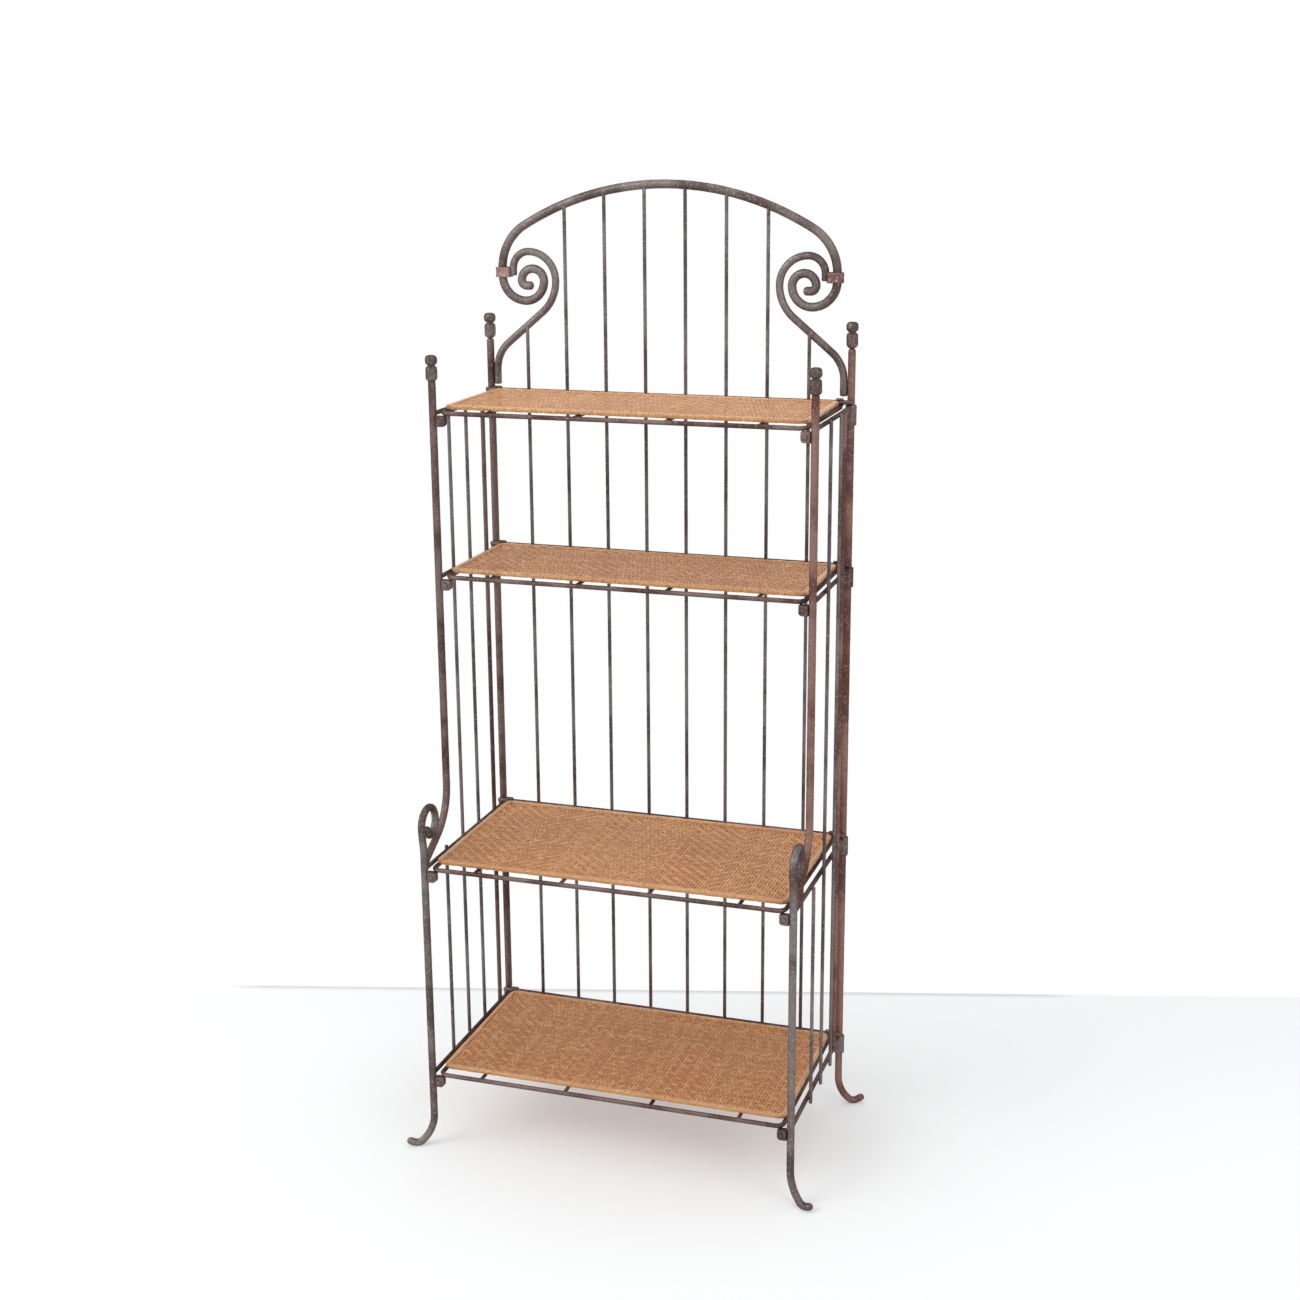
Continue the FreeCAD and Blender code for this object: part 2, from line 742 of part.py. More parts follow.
def side_panel(side, sign):
    """Everything that swings with one side: post, leg, rails, stile and sleeves."""
    x = sign * post_x
    leg = front_leg(side, sign)
    post = front_post(side, sign, leg)
    top = finial(f"front_finial_body_{side}", x, front_post_y, front_post_top)
    node(f"front_finial_{side}", top)

    stile_y = rear_y - size("stile_setback")
    stile_base = side_rail_height[4] - rod_radius
    stile_length = side_rail_height[1] + rod_radius - stile_base
    stile = straight_bar(f"stile_{side}", size("rod_dia"), stile_length, x, stile_y, stile_base)
    node(f"side_stile_{side}", stile)

    front_pieces = group(f"front_pieces_{side}", [leg, post, stile])
    for number in LEVELS:
        depth = size("upper_depth") if number in UPPER_LEVELS else size("lower_depth")
        rail = straight_bar(
            f"side_rail_bar_{side}_{number}",
            size("rod_dia"),
            depth - size("stile_setback"),
            x,
            stile_y,
            side_rail_height[number],
            TO_FRONT,
        )
        coped = cut(f"side_rail_coped_{side}_{number}", rail, front_pieces)
        node(f"side_rail_{number}_{side}", coped)

    sleeves = []
    for number in LEVELS:
        outer = straight_bar(
            f"sleeve_{side}_{number}",
            size("post_dia") + size("knuckle_wall") * 2,
            size("knuckle_height"),
            x,
            rear_y,
            knuckle_base(number),
        )
        tang = straight_bar(
            f"tang_{side}_{number}",
            size("rod_dia"),
            size("stile_setback"),
            x,
            rear_y,
            side_rail_height[number],
            TO_FRONT,
        )
        sleeves.append(fuse(f"knuckle_{side}_{number}", [outer, tang]))
    bore = round_bar(
        f"knuckle_bore_{side}",
        post_radius + size("hinge_play"),
        rear_post_top,
        x,
        rear_y,
        0,
    )
    bored = cut(f"knuckles_bored_{side}", group(f"knuckles_rough_{side}", sleeves), bore)
    node(f"hinge_knuckles_{side}", cut(f"knuckles_coped_{side}", bored, stile))

    spindle_x = x + sign * (rod_radius + spindle_radius)
    spindle_base = side_rail_height[4] - rod_radius - size("spindle_drop")
    spindles = []
    for position, top_level in ((1, 1), (2, 1), (3, 3)):
        y = rear_y - size("side_first") - size("side_pitch") * (position - 1)
        length = side_rail_height[top_level] + rod_radius - spindle_base
        name = f"side_spindle_{side}_{position}"
        spindles.append(straight_bar(name, size("spindle_dia"), length, spindle_x, y, spindle_base))
    node(f"side_spindles_{side}", group(f"side_spindles_group_{side}", spindles))

    rests = []
    bolts = []
    for number in LEVELS:
        y = front_post_y if number in UPPER_LEVELS else leg_y
        rest_top = level[number] - rod_radius - size("seat_gap")
        inner_x = x - sign * post_radius
        corner_x = inner_x - size("rest_length") if sign > 0 else inner_x
        rest = part(
            "Box",
            f"rest_{side}_{number}",
            Length=size("rest_length"),
            Width=size("rest_width"),
            Height=size("rest_height"),
        )
        place(rest, corner_x, y - size("rest_width") / 2, rest_top - size("rest_height"))
        rests.append(rest)
        head = part(
            "Prism",
            f"bolt_{side}_{number}",
            Circumradius=size("bolt_dia") / 2,
            Height=size("bolt_height"),
        )
        head.Polygon = BOLT_SIDES
        bolt_x = inner_x - sign * size("rest_length") / 2
        bolt_y = y - size("rest_width") / 2
        place(head, bolt_x, bolt_y, rest_top - size("rest_height") / 2, TO_FRONT)
        bolts.append(head)
    node(f"shelf_rests_{side}", group(f"rests_group_{side}", rests))
    node(f"rest_bolts_{side}", group(f"bolts_group_{side}", bolts))


# %% Shelves
def hinge_eye(name, x, z):
    """A rolled eye: it leaves the rod below the rail and curls up behind and over it."""
    reach = bore_radius + size("eye_wall")
    roll = straight_bar(f"{name}_roll", reach * 2, size("eye_width"), x, hinge_y, z, TO_RIGHT)
    tool_length = size("eye_width") + CUT_ALLOWANCE * 2
    tool_x = x - CUT_ALLOWANCE
    bore = round_bar(f"{name}_bore", bore_radius, tool_length, tool_x, hinge_y, z, TO_RIGHT)
    mouth_reach = reach + CUT_ALLOWANCE
    binding_top = rod_radius + size("binding_thickness") - hinge_rise
    mouth = part(
        "Box",
        f"{name}_mouth",
        Length=tool_length,
        Width=mouth_reach,
        Height=mouth_reach + binding_top + size("eye_clearance"),
    )
    place(mouth, tool_x, hinge_y - mouth_reach, z - mouth_reach)
    return cut(name, roll, fuse(f"{name}_tool", [bore, mouth]))


def shelf(number):
    """A bent rod with two hinge eyes, bars across it, a woven panel and its binding."""
    z = level[number]
    front_y = front_post_y if number in UPPER_LEVELS else leg_y
    corner = size("shelf_corner_radius")
    steps = [
        run(shelf_rod_x - corner),
        bend(corner, 90, 1),
        run(hinge_y - front_y - corner),
    ]
    rod = bent_bar(
        f"shelf_rod_{number}",
        size("rod_dia"),
        steps,
        0,
        "XY_Plane",
        "YZ_Plane",
        sides=ROD_SIDES,
        mirror=True,
    )
    place(rod, 0, front_y, z)
    outer_x = shelf_rod_x + rod_radius
    right_eye = hinge_eye(f"eye_right_{number}", outer_x - size("eye_width"), hinge_height[number])
    left_eye = hinge_eye(f"eye_left_{number}", -outer_x, hinge_height[number])
    frame = fuse(f"shelf_frame_fused_{number}", [rod, right_eye, left_eye])
    node(f"shelf_frame_{number}", frame)

    rear_rod_y = hinge_y - size("rear_rod_setback")
    inner_x = shelf_rod_x - rod_radius
    bars = [
        straight_bar(
            f"rear_rod_{number}", size("rod_dia"), inner_x * 2, -inner_x, rear_rod_y, z, TO_RIGHT
        )
    ]
    bar_z = z + rod_radius - size("cross_bar_dia") / 2
    bar_length = rear_rod_y - front_y - rod_radius * 2
    for position in range(CROSS_BARS):
        bars.append(
            straight_bar(
                f"cross_bar_{number}_{position + 1}",
                size("cross_bar_dia"),
                bar_length,
                size("cross_bar_pitch") * (position - (CROSS_BARS - 1) / 2),
                rear_rod_y - rod_radius,
                bar_z,
                TO_FRONT,
            )
        )
    node(f"shelf_bars_{number}", group(f"shelf_bars_group_{number}", bars))

    top = z + rod_radius
    half_width = shelf_rod_x + size("panel_lap")
    edge_front = front_y + size("panel_front_gap")
    depth = hinge_y - size("panel_rear_gap") - edge_front
    width = size("binding_width")
    outer = eased_slab(
        f"binding_slab_{number}",
        half_width,
        depth,
        size("binding_thickness"),
        size("binding_corner"),
        0,
        edge_front,
        top,
    )
    inner_half = half_width - width
    hole = part(
        "Box",
        f"binding_hole_{number}",
        Length=inner_half * 2,
        Width=depth - width * 2,
        Height=size("binding_thickness") + CUT_ALLOWANCE * 2,
    )
    place(hole, -inner_half, edge_front + width, top - CUT_ALLOWANCE)
    node(f"panel_binding_{number}", cut(f"binding_ring_{number}", outer, hole))
    weave = part(
        "Box",
        f"weave_{number}",
        Length=inner_half * 2,
        Width=depth - width * 2,
        Height=size("panel_thickness"),
    )
    place(weave, -inner_half, edge_front + width, top)
    node(f"wicker_panel_{number}", weave)


# %% Assembly
for side, sign in SIDES:
    rear_post(side, sign)
stem_bars = {side: scroll_stem(side, sign) for side, sign in SIDES}
stems = node("scroll_stems", group("stem_pair", list(stem_bars.values())))
rear_turnings = [
    finial(f"rear_finial_{side}", sign * post_x, rear_y, rear_post_top)
    for side, sign in SIDES
]
node("rear_finials", group("rear_finial_pair", rear_turnings))
arch_piece = arch()
collars = [scroll_collar(side, sign, stem_bars[side]) for side, sign in SIDES]
node("scroll_collars", group("collar_pair", collars))
for name, bays in (("centre", 0.5), ("mid", 1.5), ("wide", WIDE_BAYS)):
    back_spindles(f"back_spindles_{name}", bays, arch_height_at(bay * bays), arch_piece)
back_spindles("back_spindles_short", 3.5, stem_height_at(bay * 3.5), stems)
for number in LEVELS:
    back_rail(number)

for side, sign in SIDES:
    side_panel(side, sign)
for number in LEVELS:
    shelf(number)

# %% Check and write
doc.recompute()
failed = [item.Label for item in doc.Objects if {"Invalid", "Error"} & set(item.State)]
if failed:
    raise RuntimeError("features that failed: " + ", ".join(failed))
os.makedirs("parts", exist_ok=True)
for piece in nodes:
    if piece.Shape.isNull() or not piece.Shape.isValid() or not piece.Shape.Solids:
        raise RuntimeError(f"{piece.Label} has no valid solid")
for piece in nodes:
    piece.Shape.exportStep(f"parts/{piece.Label}.step")
print(len(nodes), "nodes written,", sum(len(piece.Shape.Solids) for piece in nodes), "solids")
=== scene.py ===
# %% [markdown]
# # A folding bakers rack of wrought bar and woven rattan
# The rack stands on the floor, faces -Y and is about 1.66 m tall. Its bars are bent from
# round steel, and its four shelves are woven from rattan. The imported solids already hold
# every size and every body that moves. This lesson could shade those solids as they are,
# but a wrought bar is never quite round and real weaving has depth, so each solid gets a
# detailed piece of its own that rides on the same body.

# %% Load the frame
import json
import math
import random

import bpy
from mathutils import Matrix, Vector, noise


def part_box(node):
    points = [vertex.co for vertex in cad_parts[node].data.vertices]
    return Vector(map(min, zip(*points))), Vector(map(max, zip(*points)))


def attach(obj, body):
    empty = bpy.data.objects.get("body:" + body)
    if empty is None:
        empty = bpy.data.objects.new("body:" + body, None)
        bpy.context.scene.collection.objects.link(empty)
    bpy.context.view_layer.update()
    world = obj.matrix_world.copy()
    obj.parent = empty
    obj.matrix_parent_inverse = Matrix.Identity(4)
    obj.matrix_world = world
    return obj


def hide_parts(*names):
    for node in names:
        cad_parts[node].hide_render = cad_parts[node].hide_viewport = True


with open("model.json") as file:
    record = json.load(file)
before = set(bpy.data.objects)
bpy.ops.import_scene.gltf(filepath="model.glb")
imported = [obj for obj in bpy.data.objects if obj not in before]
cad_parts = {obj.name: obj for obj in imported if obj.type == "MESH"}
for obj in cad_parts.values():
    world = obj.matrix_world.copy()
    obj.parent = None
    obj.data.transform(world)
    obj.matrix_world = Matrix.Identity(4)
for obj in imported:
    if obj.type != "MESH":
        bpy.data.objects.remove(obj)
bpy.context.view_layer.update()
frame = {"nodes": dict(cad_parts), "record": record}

# %% [markdown]
# ## The camera
# A rack this tall is looked at from standing height, a little from its right side. The
# camera could be aimed with a Track To constraint. Here its matrix is worked out from
# three angles, so that its roll, tiny as when a camera is held by hand, can be set too.
# It comes first because every comparison depends on it.

# %% Camera
IMAGE_SIDE = 1300
FOCAL_PIXELS = 1968.8
SENSOR_MM = 36.0
CAMERA_REACH = 50
CAMERA_PLACE = Vector((1.0374, -3.0391, 1.7592))
CAMERA_AZIMUTH = math.radians(18.41)
CAMERA_PITCH = math.radians(15.2)
CAMERA_ROLL = math.radians(-0.46)

camera_data = bpy.data.cameras.new("camera")
camera_data.lens = FOCAL_PIXELS / IMAGE_SIDE * SENSOR_MM
camera_data.sensor_width = SENSOR_MM
camera_data.sensor_fit = "HORIZONTAL"
camera_data.clip_end = CAMERA_REACH
camera = bpy.data.objects.new("camera", camera_data)
bpy.context.scene.collection.objects.link(camera)

backward = Vector((
    math.sin(CAMERA_AZIMUTH) * math.cos(CAMERA_PITCH),
    -math.cos(CAMERA_AZIMUTH) * math.cos(CAMERA_PITCH),
    math.sin(CAMERA_PITCH),
))
level_right = Vector((math.cos(CAMERA_AZIMUTH), math.sin(CAMERA_AZIMUTH), 0))
level_up = backward.cross(level_right)
right = level_right * math.cos(CAMERA_ROLL) + level_up * math.sin(CAMERA_ROLL)
up = backward.cross(right)
camera.matrix_world = Matrix((
    (right.x, up.x, backward.x, CAMERA_PLACE.x),
    (right.y, up.y, backward.y, CAMERA_PLACE.y),
    (right.z, up.z, backward.z, CAMERA_PLACE.z),
    (0, 0, 0, 1),
))
bpy.context.scene.camera = camera
print("lens", round(camera_data.lens, 2), "mm")

# %% [markdown]
# ## Sizes
# A smith works to a few sizes: where the posts stand, how high the shelves are and how
# thick each bar is. They could be read off the solids, but a bend needs more than the box
# round a solid gives. So they are written here, in metres, and the cells below work from
# their names.

# %% Sizes
POST_X = 0.324
REAR_Y = 0.177
LEG_Y = -0.177
UPPER_POST_Y = -0.075
LEVELS = {1: 1.287, 2: 1.0095, 3: 0.521, 4: 0.137}
UPPER_LEVELS = (1, 2)
SIDES = (("left", -1), ("right", 1))

POST_RADIUS = 0.0065
ROD_RADIUS = 0.004
HINGE_PLAY = 0.00008
HINGE_RISE = 2 * ROD_RADIUS + HINGE_PLAY
HINGE_Y = REAR_Y - POST_RADIUS - ROD_RADIUS
RIGHT = Vector((1, 0, 0))
BACK = Vector((0, 1, 0))
UP = Vector((0, 0, 1))


def front_y(number):
    """Where the front posts stand at a shelf; the upper two shelves are shallower."""
    return UPPER_POST_Y if number in UPPER_LEVELS else LEG_Y


def hinge_z(number):
    """The height of a back rail: one rod above the shelf's own rod, with a little play."""
    return LEVELS[number] + HINGE_RISE


print("shelves at", [LEVELS[number] for number in LEVELS])

# %% [markdown]
# ## Following a bent bar
# A smith bends a bar in one plane by runs and bends: a run is a straight length, and a
# bend is a radius, an angle and a side. A curve object could follow the same path, but its
# skin can't be dented ring by ring. So `trace` walks along the bar and leaves a point every
# few millimetres, closer together in the tight scrolls.

# %% Trace a bent bar
POINT_SPACING = 0.006
BEND_STEP = math.radians(7.5)


def run(length):
    return ("run", length, 0, 0)


def bend(radius, degrees, side):
    """side is 1 for a turn to the left of the heading and -1 for one to the right."""
    return ("bend", radius, math.radians(degrees), side)


def trace(start, heading, left, steps):
    """Points along a planar bar that starts toward heading, with left at its left."""
    points = [start.copy()]
    heading = heading.normalized()
    left = left.normalized()
    for kind, length, turn, side in steps:
        if kind == "run":
            count = max(1, round(length / POINT_SPACING))
            begin = points[-1].copy()
            for index in range(1, count + 1):
                points.append(begin + heading * (length * index / count))
            continue
        count = max(2, math.ceil(turn / BEND_STEP), round(length * turn / POINT_SPACING))
        centre = points[-1] + left * (side * length)
        arm = -left * side
        for index in range(1, count + 1):
            angle = turn * index / count
            spoke = arm * math.cos(angle) + heading * math.sin(angle)
            points.append(centre + spoke * length)
        new_heading = heading * math.cos(turn) - arm * math.sin(turn)
        left = (arm * math.cos(turn) + heading * math.sin(turn)) * -side
        heading = new_heading
    return points


quarter = trace(Vector(), UP, -RIGHT, [bend(0.1, 90, 1)])
print("a quarter turn of 0.1 m ends at", [round(c, 3) for c in quarter[-1]])

# %% [markdown]
# ## The skin of a bar
# Wrought bar is round, with the shallow dents that a hammer leaves. A cylinder with a bump
# texture would look dented and still have a perfect outline. Here a ring is carried along
# the centre line without twisting, and each of its points moves inward by a smooth noise,
# never outward, so the bar stays inside its real diameter.

# %% Dents
DENT_SIZE = 0.011
DENT_DEPTH = 0.035
COARSE_DENTS = 0.75
FINE_DENTS = 0.3
FINE_SIZE = 0.38
FINE_SHIFT = Vector((7, 3, 5))


def dent(point):
    """0 to 1: how far a hammer mark reaches at a point."""
    coarse = noise.noise(point / DENT_SIZE)
    fine = noise.noise(point / (DENT_SIZE * FINE_SIZE) + FINE_SHIFT)
    return min(1, max(0, 0.5 + COARSE_DENTS * coarse + FINE_DENTS * fine))


print("dents at two places:", round(dent(RIGHT), 3), round(dent(UP), 3))

# %% Rings along a line
NEARLY_UPRIGHT = 0.9


def carried_frames(points):
    """Tangent and two side directions at each point, with no twist between them."""
    frames = []
    tangent = (points[1] - points[0]).normalized()
    helper = UP if abs(tangent.z) < NEARLY_UPRIGHT else RIGHT
    side = tangent.cross(helper).normalized()
    for index in range(len(points)):
        before = points[max(0, index - 1)]
        after = points[min(len(points) - 1, index + 1)]
        new_tangent = (after - before).normalized()
        turn = tangent.rotation_difference(new_tangent)
        side = (turn @ side).normalized()
        tangent = new_tangent
        frames.append((tangent, side, tangent.cross(side).normalized()))
    return frames


def ring_skin(rings, closed=False):
    """Quads between rings of equal length, with a cap on each end unless it is closed."""
    count = len(rings[0])
    vertices = [point for ring in rings for point in ring]
    faces = []
    last = len(rings) if closed else len(rings) - 1
    for row in range(last):
        here = row * count
        there = (row + 1) % len(rings) * count
        for index in range(count):
            after = (index + 1) % count
            faces.append((here + index, here + after, there + after, there + index))
    if not closed:
        faces.append(tuple(reversed(range(count))))
        faces.append(tuple(range(len(vertices) - count, len(vertices))))
    return vertices, faces


print("frames along the quarter turn:", len(carried_frames(quarter)))

# %% [markdown]
# ## Bars and turned pieces
# Most of the rack is cut bar, and a smith dresses a cut end so that it doesn't catch a
# sleeve. A bevel modifier could round the ends, but it would round every dent too, so a
# bar narrows over its last rings instead. A turned piece, such as a finial, is the same
# ring carried along a straight axis, with a radius that follows a profile.

# %% Bars
EASE_STEPS = ((0.0, 0.12), (0.35, 0.68), (1.0, 1.0))
CUT_EASE = 0.3
STRAIGHT_SPACING = 0.009
POST_FACETS = 20
ROD_FACETS = 16
RAIL_FACETS = 14
THIN_FACETS = 12
THIN_DENTS = 0.05
SPINDLE_RADIUS = 0.0032


def bar(points, radius, sides=POST_FACETS, dents=DENT_DEPTH, ease=CUT_EASE):
    """A round hammered bar. ease is how far its ends are eased, as a share of radius."""
    frames = carried_frames(points)
    stations = []
    first, last = frames[0], frames[-1]
    for depth, share in EASE_STEPS:
        place = points[0] + first[0] * (radius * ease * depth)
        stations.append((place, first, 1 - ease * (1 - share)))
    for index in range(1, len(points) - 1):
        stations.append((points[index], frames[index], 1.0))
    for depth, share in reversed(EASE_STEPS):
        place = points[-1] - last[0] * (radius * ease * depth)
        stations.append((place, last, 1 - ease * (1 - share)))
    rings = []
    for place, (tangent, side, other), share in stations:
        ring = []
        for index in range(sides):
            angle = math.tau * index / sides
            spoke = side * math.cos(angle) + other * math.sin(angle)
            reach = radius * share
            surface = place + spoke * reach
            reach *= 1 - dents * dent(surface)
            ring.append(place + spoke * reach)
        rings.append(ring)
    return ring_skin(rings)


def straight(start, end):
    count = max(2, round((end - start).length / STRAIGHT_SPACING))
    return [start.lerp(end, index / count) for index in range(count + 1)]


def thin_bar(start, end):
    return bar(straight(start, end), SPINDLE_RADIUS, sides=THIN_FACETS, dents=THIN_DENTS)


print("thin bar of 0.1 m:", len(thin_bar(Vector(), UP * 0.1)[0]), "points")

# %% Turned pieces
TURNED_FACETS = 32


def turning(base, axis, profile, sides=TURNED_FACETS, dents=0.0, closed=False):
    """A turned piece: profile lists (height along axis, radius)."""
    axis = axis.normalized()
    helper = RIGHT if abs(axis.x) < NEARLY_UPRIGHT else UP
    side = axis.cross(helper).normalized()
    other = axis.cross(side)
    rings = []
    for height, radius in profile:
        ring = []
        for index in range(sides):
            angle = math.tau * index / sides
            spoke = side * math.cos(angle) + other * math.sin(angle)
            point = base + axis * height + spoke * radius
            ring.append(point - spoke * (radius * dents * dent(point)))
        rings.append(ring)
    return ring_skin(rings, closed)


disc = turning(Vector(), UP, ((0, 0.01), (0.001, 0.01)))
print("a turned disc has", len(disc[1]), "faces")

# %% [markdown]
# ## One piece for each solid
# Each part of the rack is a plain CAD solid that also serves for collision. It could be
# edited until it looks right, but then shape and collision would drift apart. So a new
# mesh takes its place and rides on its body, and the solid stays hidden.

# %% Make a piece
SMOOTH_ANGLE = 50

bodies = frame["record"]["behaviour"]["bodies"]
body_of_node = {node: body for body, members in bodies.items() for node in members}
slot_of_node = {entry["node"]: entry["material_slot"] for entry in frame["record"]["subparts"]}
made_pieces = {}


def merged(shapes):
    """Several (vertices, faces) shapes as one."""
    vertices = []
    faces = []
    for shape_vertices, shape_faces in shapes:
        offset = len(vertices)
        vertices += shape_vertices
        faces += [tuple(index + offset for index in face) for face in shape_faces]
    return vertices, faces


def make_piece(node, shapes, suffix="forged", smooth_angle=SMOOTH_ANGLE):
    """One mesh object from shapes that stands for one node."""
    vertices, faces = merged(shapes)
    mesh = bpy.data.meshes.new(f"{node}_{suffix}")
    mesh.from_pydata(vertices, [], faces)
    mesh.validate()
    mesh.polygons.foreach_set("use_smooth", [True] * len(mesh.polygons))
    mesh.set_sharp_from_angle(angle=math.radians(smooth_angle))
    piece = bpy.data.objects.new(f"{node}_{suffix}", mesh)
    bpy.context.scene.collection.objects.link(piece)
    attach(piece, body_of_node[node])
    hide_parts(node)
    made_pieces[node] = piece
    return piece


print(len(body_of_node), "nodes to dress")

# %% [markdown]
# ## The arch and its scrolls
# The top is a single bar. It springs from one scroll, rises over the back and ends in the
# other scroll, each wound about one and a quarter turns. A spiral formula could draw the
# scrolls, but a smith winds them in quarter turns of shrinking radius, and so do these
# steps. Half of the bar is traced from the crown outward, and the rest is its mirror image.

# %% Arch
ARCH_RADIUS = 0.0075
ARCH_TOP = 1.648
CROWN_RADIUS = 0.5
SHOULDER_RADIUS = 0.085
ARCH_HALF_WIDTH = 0.297
ARCH_DROP = 0.0125
VOLUTE_RADII = (0.0425, 0.034, 0.021, 0.020, 0.009)
VOLUTE_TAIL = 0.012
ARCH_EASE = 0.6

crown_to_shoulder = CROWN_RADIUS - SHOULDER_RADIUS
arch_spring = math.degrees(math.asin((ARCH_HALF_WIDTH - SHOULDER_RADIUS) / crown_to_shoulder))
arch_steps = [
    bend(CROWN_RADIUS, arch_spring, -1),
    bend(SHOULDER_RADIUS, 90 - arch_spring, -1),
    run(ARCH_DROP),
    *[bend(radius, 90, -1) for radius in VOLUTE_RADII],
    run(VOLUTE_TAIL),
]
arch_half = trace(Vector((0, REAR_Y, ARCH_TOP)), RIGHT, UP, arch_steps)
mirrored_half = [Vector((-point.x, point.y, point.z)) for point in arch_half[:0:-1]]
make_piece("arch_bar", [bar(mirrored_half + arch_half, ARCH_RADIUS, ease=ARCH_EASE)])
print("arch bar:", len(made_pieces["arch_bar"].data.vertices), "points")

# %% [markdown]
# ## The scroll stems
# A stem rises beside each post, leans in toward the middle and curls over outward, and
# the collar ties its end to the arch. Its points could be placed by eye, but then the gap
# to the arch would be a guess. Instead the length of the leaning run and the last radius
# are solved, so that the end lies exactly one gap from the arch.

# %% Scroll stems
STEM_UPRIGHT = 0.026
STEM_LOWER_RADIUS = 0.060
STEM_UPPER_RADIUS = 0.070
STEM_LEAN = 50
STEM_SHIFT = 0.112
STEM_CROWN_RADIUS = 0.049
STEM_TAIL = 0.012
STEM_GAP = 0.006
STEM_EYE_SPACE = 0.004
STEM_FOOT_GAP = 0.001

stem_lean = math.radians(STEM_LEAN)
bends_shift = (STEM_LOWER_RADIUS + STEM_UPPER_RADIUS) * (1 - math.cos(stem_lean))
stem_run = (STEM_SHIFT - bends_shift) / math.sin(stem_lean)
stem_foot_x = POST_X - 2 * POST_RADIUS
stem_foot_z = hinge_z(1) + ROD_RADIUS + HINGE_PLAY + STEM_EYE_SPACE + STEM_FOOT_GAP
stem_tip_x = ARCH_HALF_WIDTH - ARCH_RADIUS - POST_RADIUS - STEM_GAP
stem_tip_radius = stem_tip_x - (stem_foot_x - STEM_SHIFT + STEM_CROWN_RADIUS)
stem_shapes = []
for side, sign in SIDES:
    stem_steps = [
        run(STEM_UPRIGHT),
        bend(STEM_LOWER_RADIUS, STEM_LEAN, sign),
        run(stem_run),
        bend(STEM_UPPER_RADIUS, STEM_LEAN, -sign),
        bend(STEM_CROWN_RADIUS, 90, -sign),
        bend(stem_tip_radius, 90, -sign),
        run(STEM_TAIL),
    ]
    start = Vector((sign * stem_foot_x, REAR_Y, stem_foot_z))
    stem_shapes.append(bar(trace(start, UP, -RIGHT, stem_steps), POST_RADIUS))
make_piece("scroll_stems", stem_shapes)
print("stems reach", round(max(v.co.z for v in made_pieces["scroll_stems"].data.vertices), 4))

# %% [markdown]
# ## Feet
# Each post and leg ends in a foot that sweeps outward, touches the floor with its heel and
# lifts its toe. The foot could be a piece of its own, but on the real rack it is the end of
# the same bar, so it is three more steps of the bar's path. The heel is filed flat by
# raising whatever lies under the floor.

# %% Feet
FOOT_SPLAY = math.radians(29)
FOOT_RADIUS = 0.065
FOOT_TURN = 48
TOE_RADIUS = 0.014
TOE_RISE = 22
TOE_LENGTH = 0.014
FOOT_FLAT = 0.0008
FOOT_EASE = 0.75

sweep_height = FOOT_RADIUS * math.sin(math.radians(FOOT_TURN))
heel_height = TOE_RADIUS * (1 - math.cos(math.radians(90 - FOOT_TURN)))
FOOT_HEIGHT = POST_RADIUS - FOOT_FLAT + sweep_height + heel_height
foot_steps = [
    bend(FOOT_RADIUS, FOOT_TURN, 1),
    bend(TOE_RADIUS, 90 - FOOT_TURN + TOE_RISE, 1),
    run(TOE_LENGTH),
]


def outward(sign, toward_back):
    """The level direction in which a foot sweeps."""
    return Vector((sign * math.cos(FOOT_SPLAY), toward_back * math.sin(FOOT_SPLAY), 0))


def grounded(shape):
    """Files the heel flat on the floor."""
    vertices, faces = shape
    for vertex in vertices:
        vertex.z = max(vertex.z, 0.0)
    return vertices, faces


def footed_bar(line):
    return grounded(bar(line, POST_RADIUS, ease=FOOT_EASE))


print("a foot leaves the upright at", round(FOOT_HEIGHT, 4), "m")

# %% [markdown]
# ## Posts and legs
# A rear post is straight down to its foot. The front leg sways gently above the third
# shelf and ends in a scroll that curls back. The upper front post is a separate bar that
# bends forward and down into the leg. Post and leg could be one mesh, but they are two
# bars welded together, and only two pieces show the joint.

# %% Rear posts and front legs
REAR_POST_TOP = 1.3845
SWAY_HEIGHT = 0.545
SWAY_RADIUS = 0.120
SWAY_TURN = 12
LEG_SCROLL = ((0.028, 180), (0.0225, 90), (0.012, 90))
LEG_TAIL = 0.007

upper_steps = [
    run(SWAY_HEIGHT - FOOT_HEIGHT),
    bend(SWAY_RADIUS, SWAY_TURN, 1),
    bend(SWAY_RADIUS, SWAY_TURN, -1),
    *[bend(radius, turn, -1) for radius, turn in LEG_SCROLL],
    run(LEG_TAIL),
]
for side, sign in SIDES:
    top = Vector((sign * POST_X, REAR_Y, REAR_POST_TOP))
    steps = [run(REAR_POST_TOP - FOOT_HEIGHT)] + foot_steps
    line = trace(top, -UP, outward(sign, 1), steps)
    make_piece(f"rear_post_{side}", [footed_bar(line)])

    knee = Vector((sign * POST_X, LEG_Y, FOOT_HEIGHT))
    above = trace(knee, UP, -BACK, upper_steps)
    below = trace(knee, -UP, outward(sign, -1), foot_steps)
    line = above[::-1] + below[1:]
    make_piece(f"front_leg_{side}", [footed_bar(line)])
print("rear posts and legs:", len(made_pieces), "pieces so far")

# %% Front posts
FRONT_POST_TOP = 1.3395
FRONT_BEND_HEIGHT = 0.640
FRONT_BEND_RADIUS = 0.090
FRONT_BEND_TURN = 60
FRONT_END_GAP = 0.003

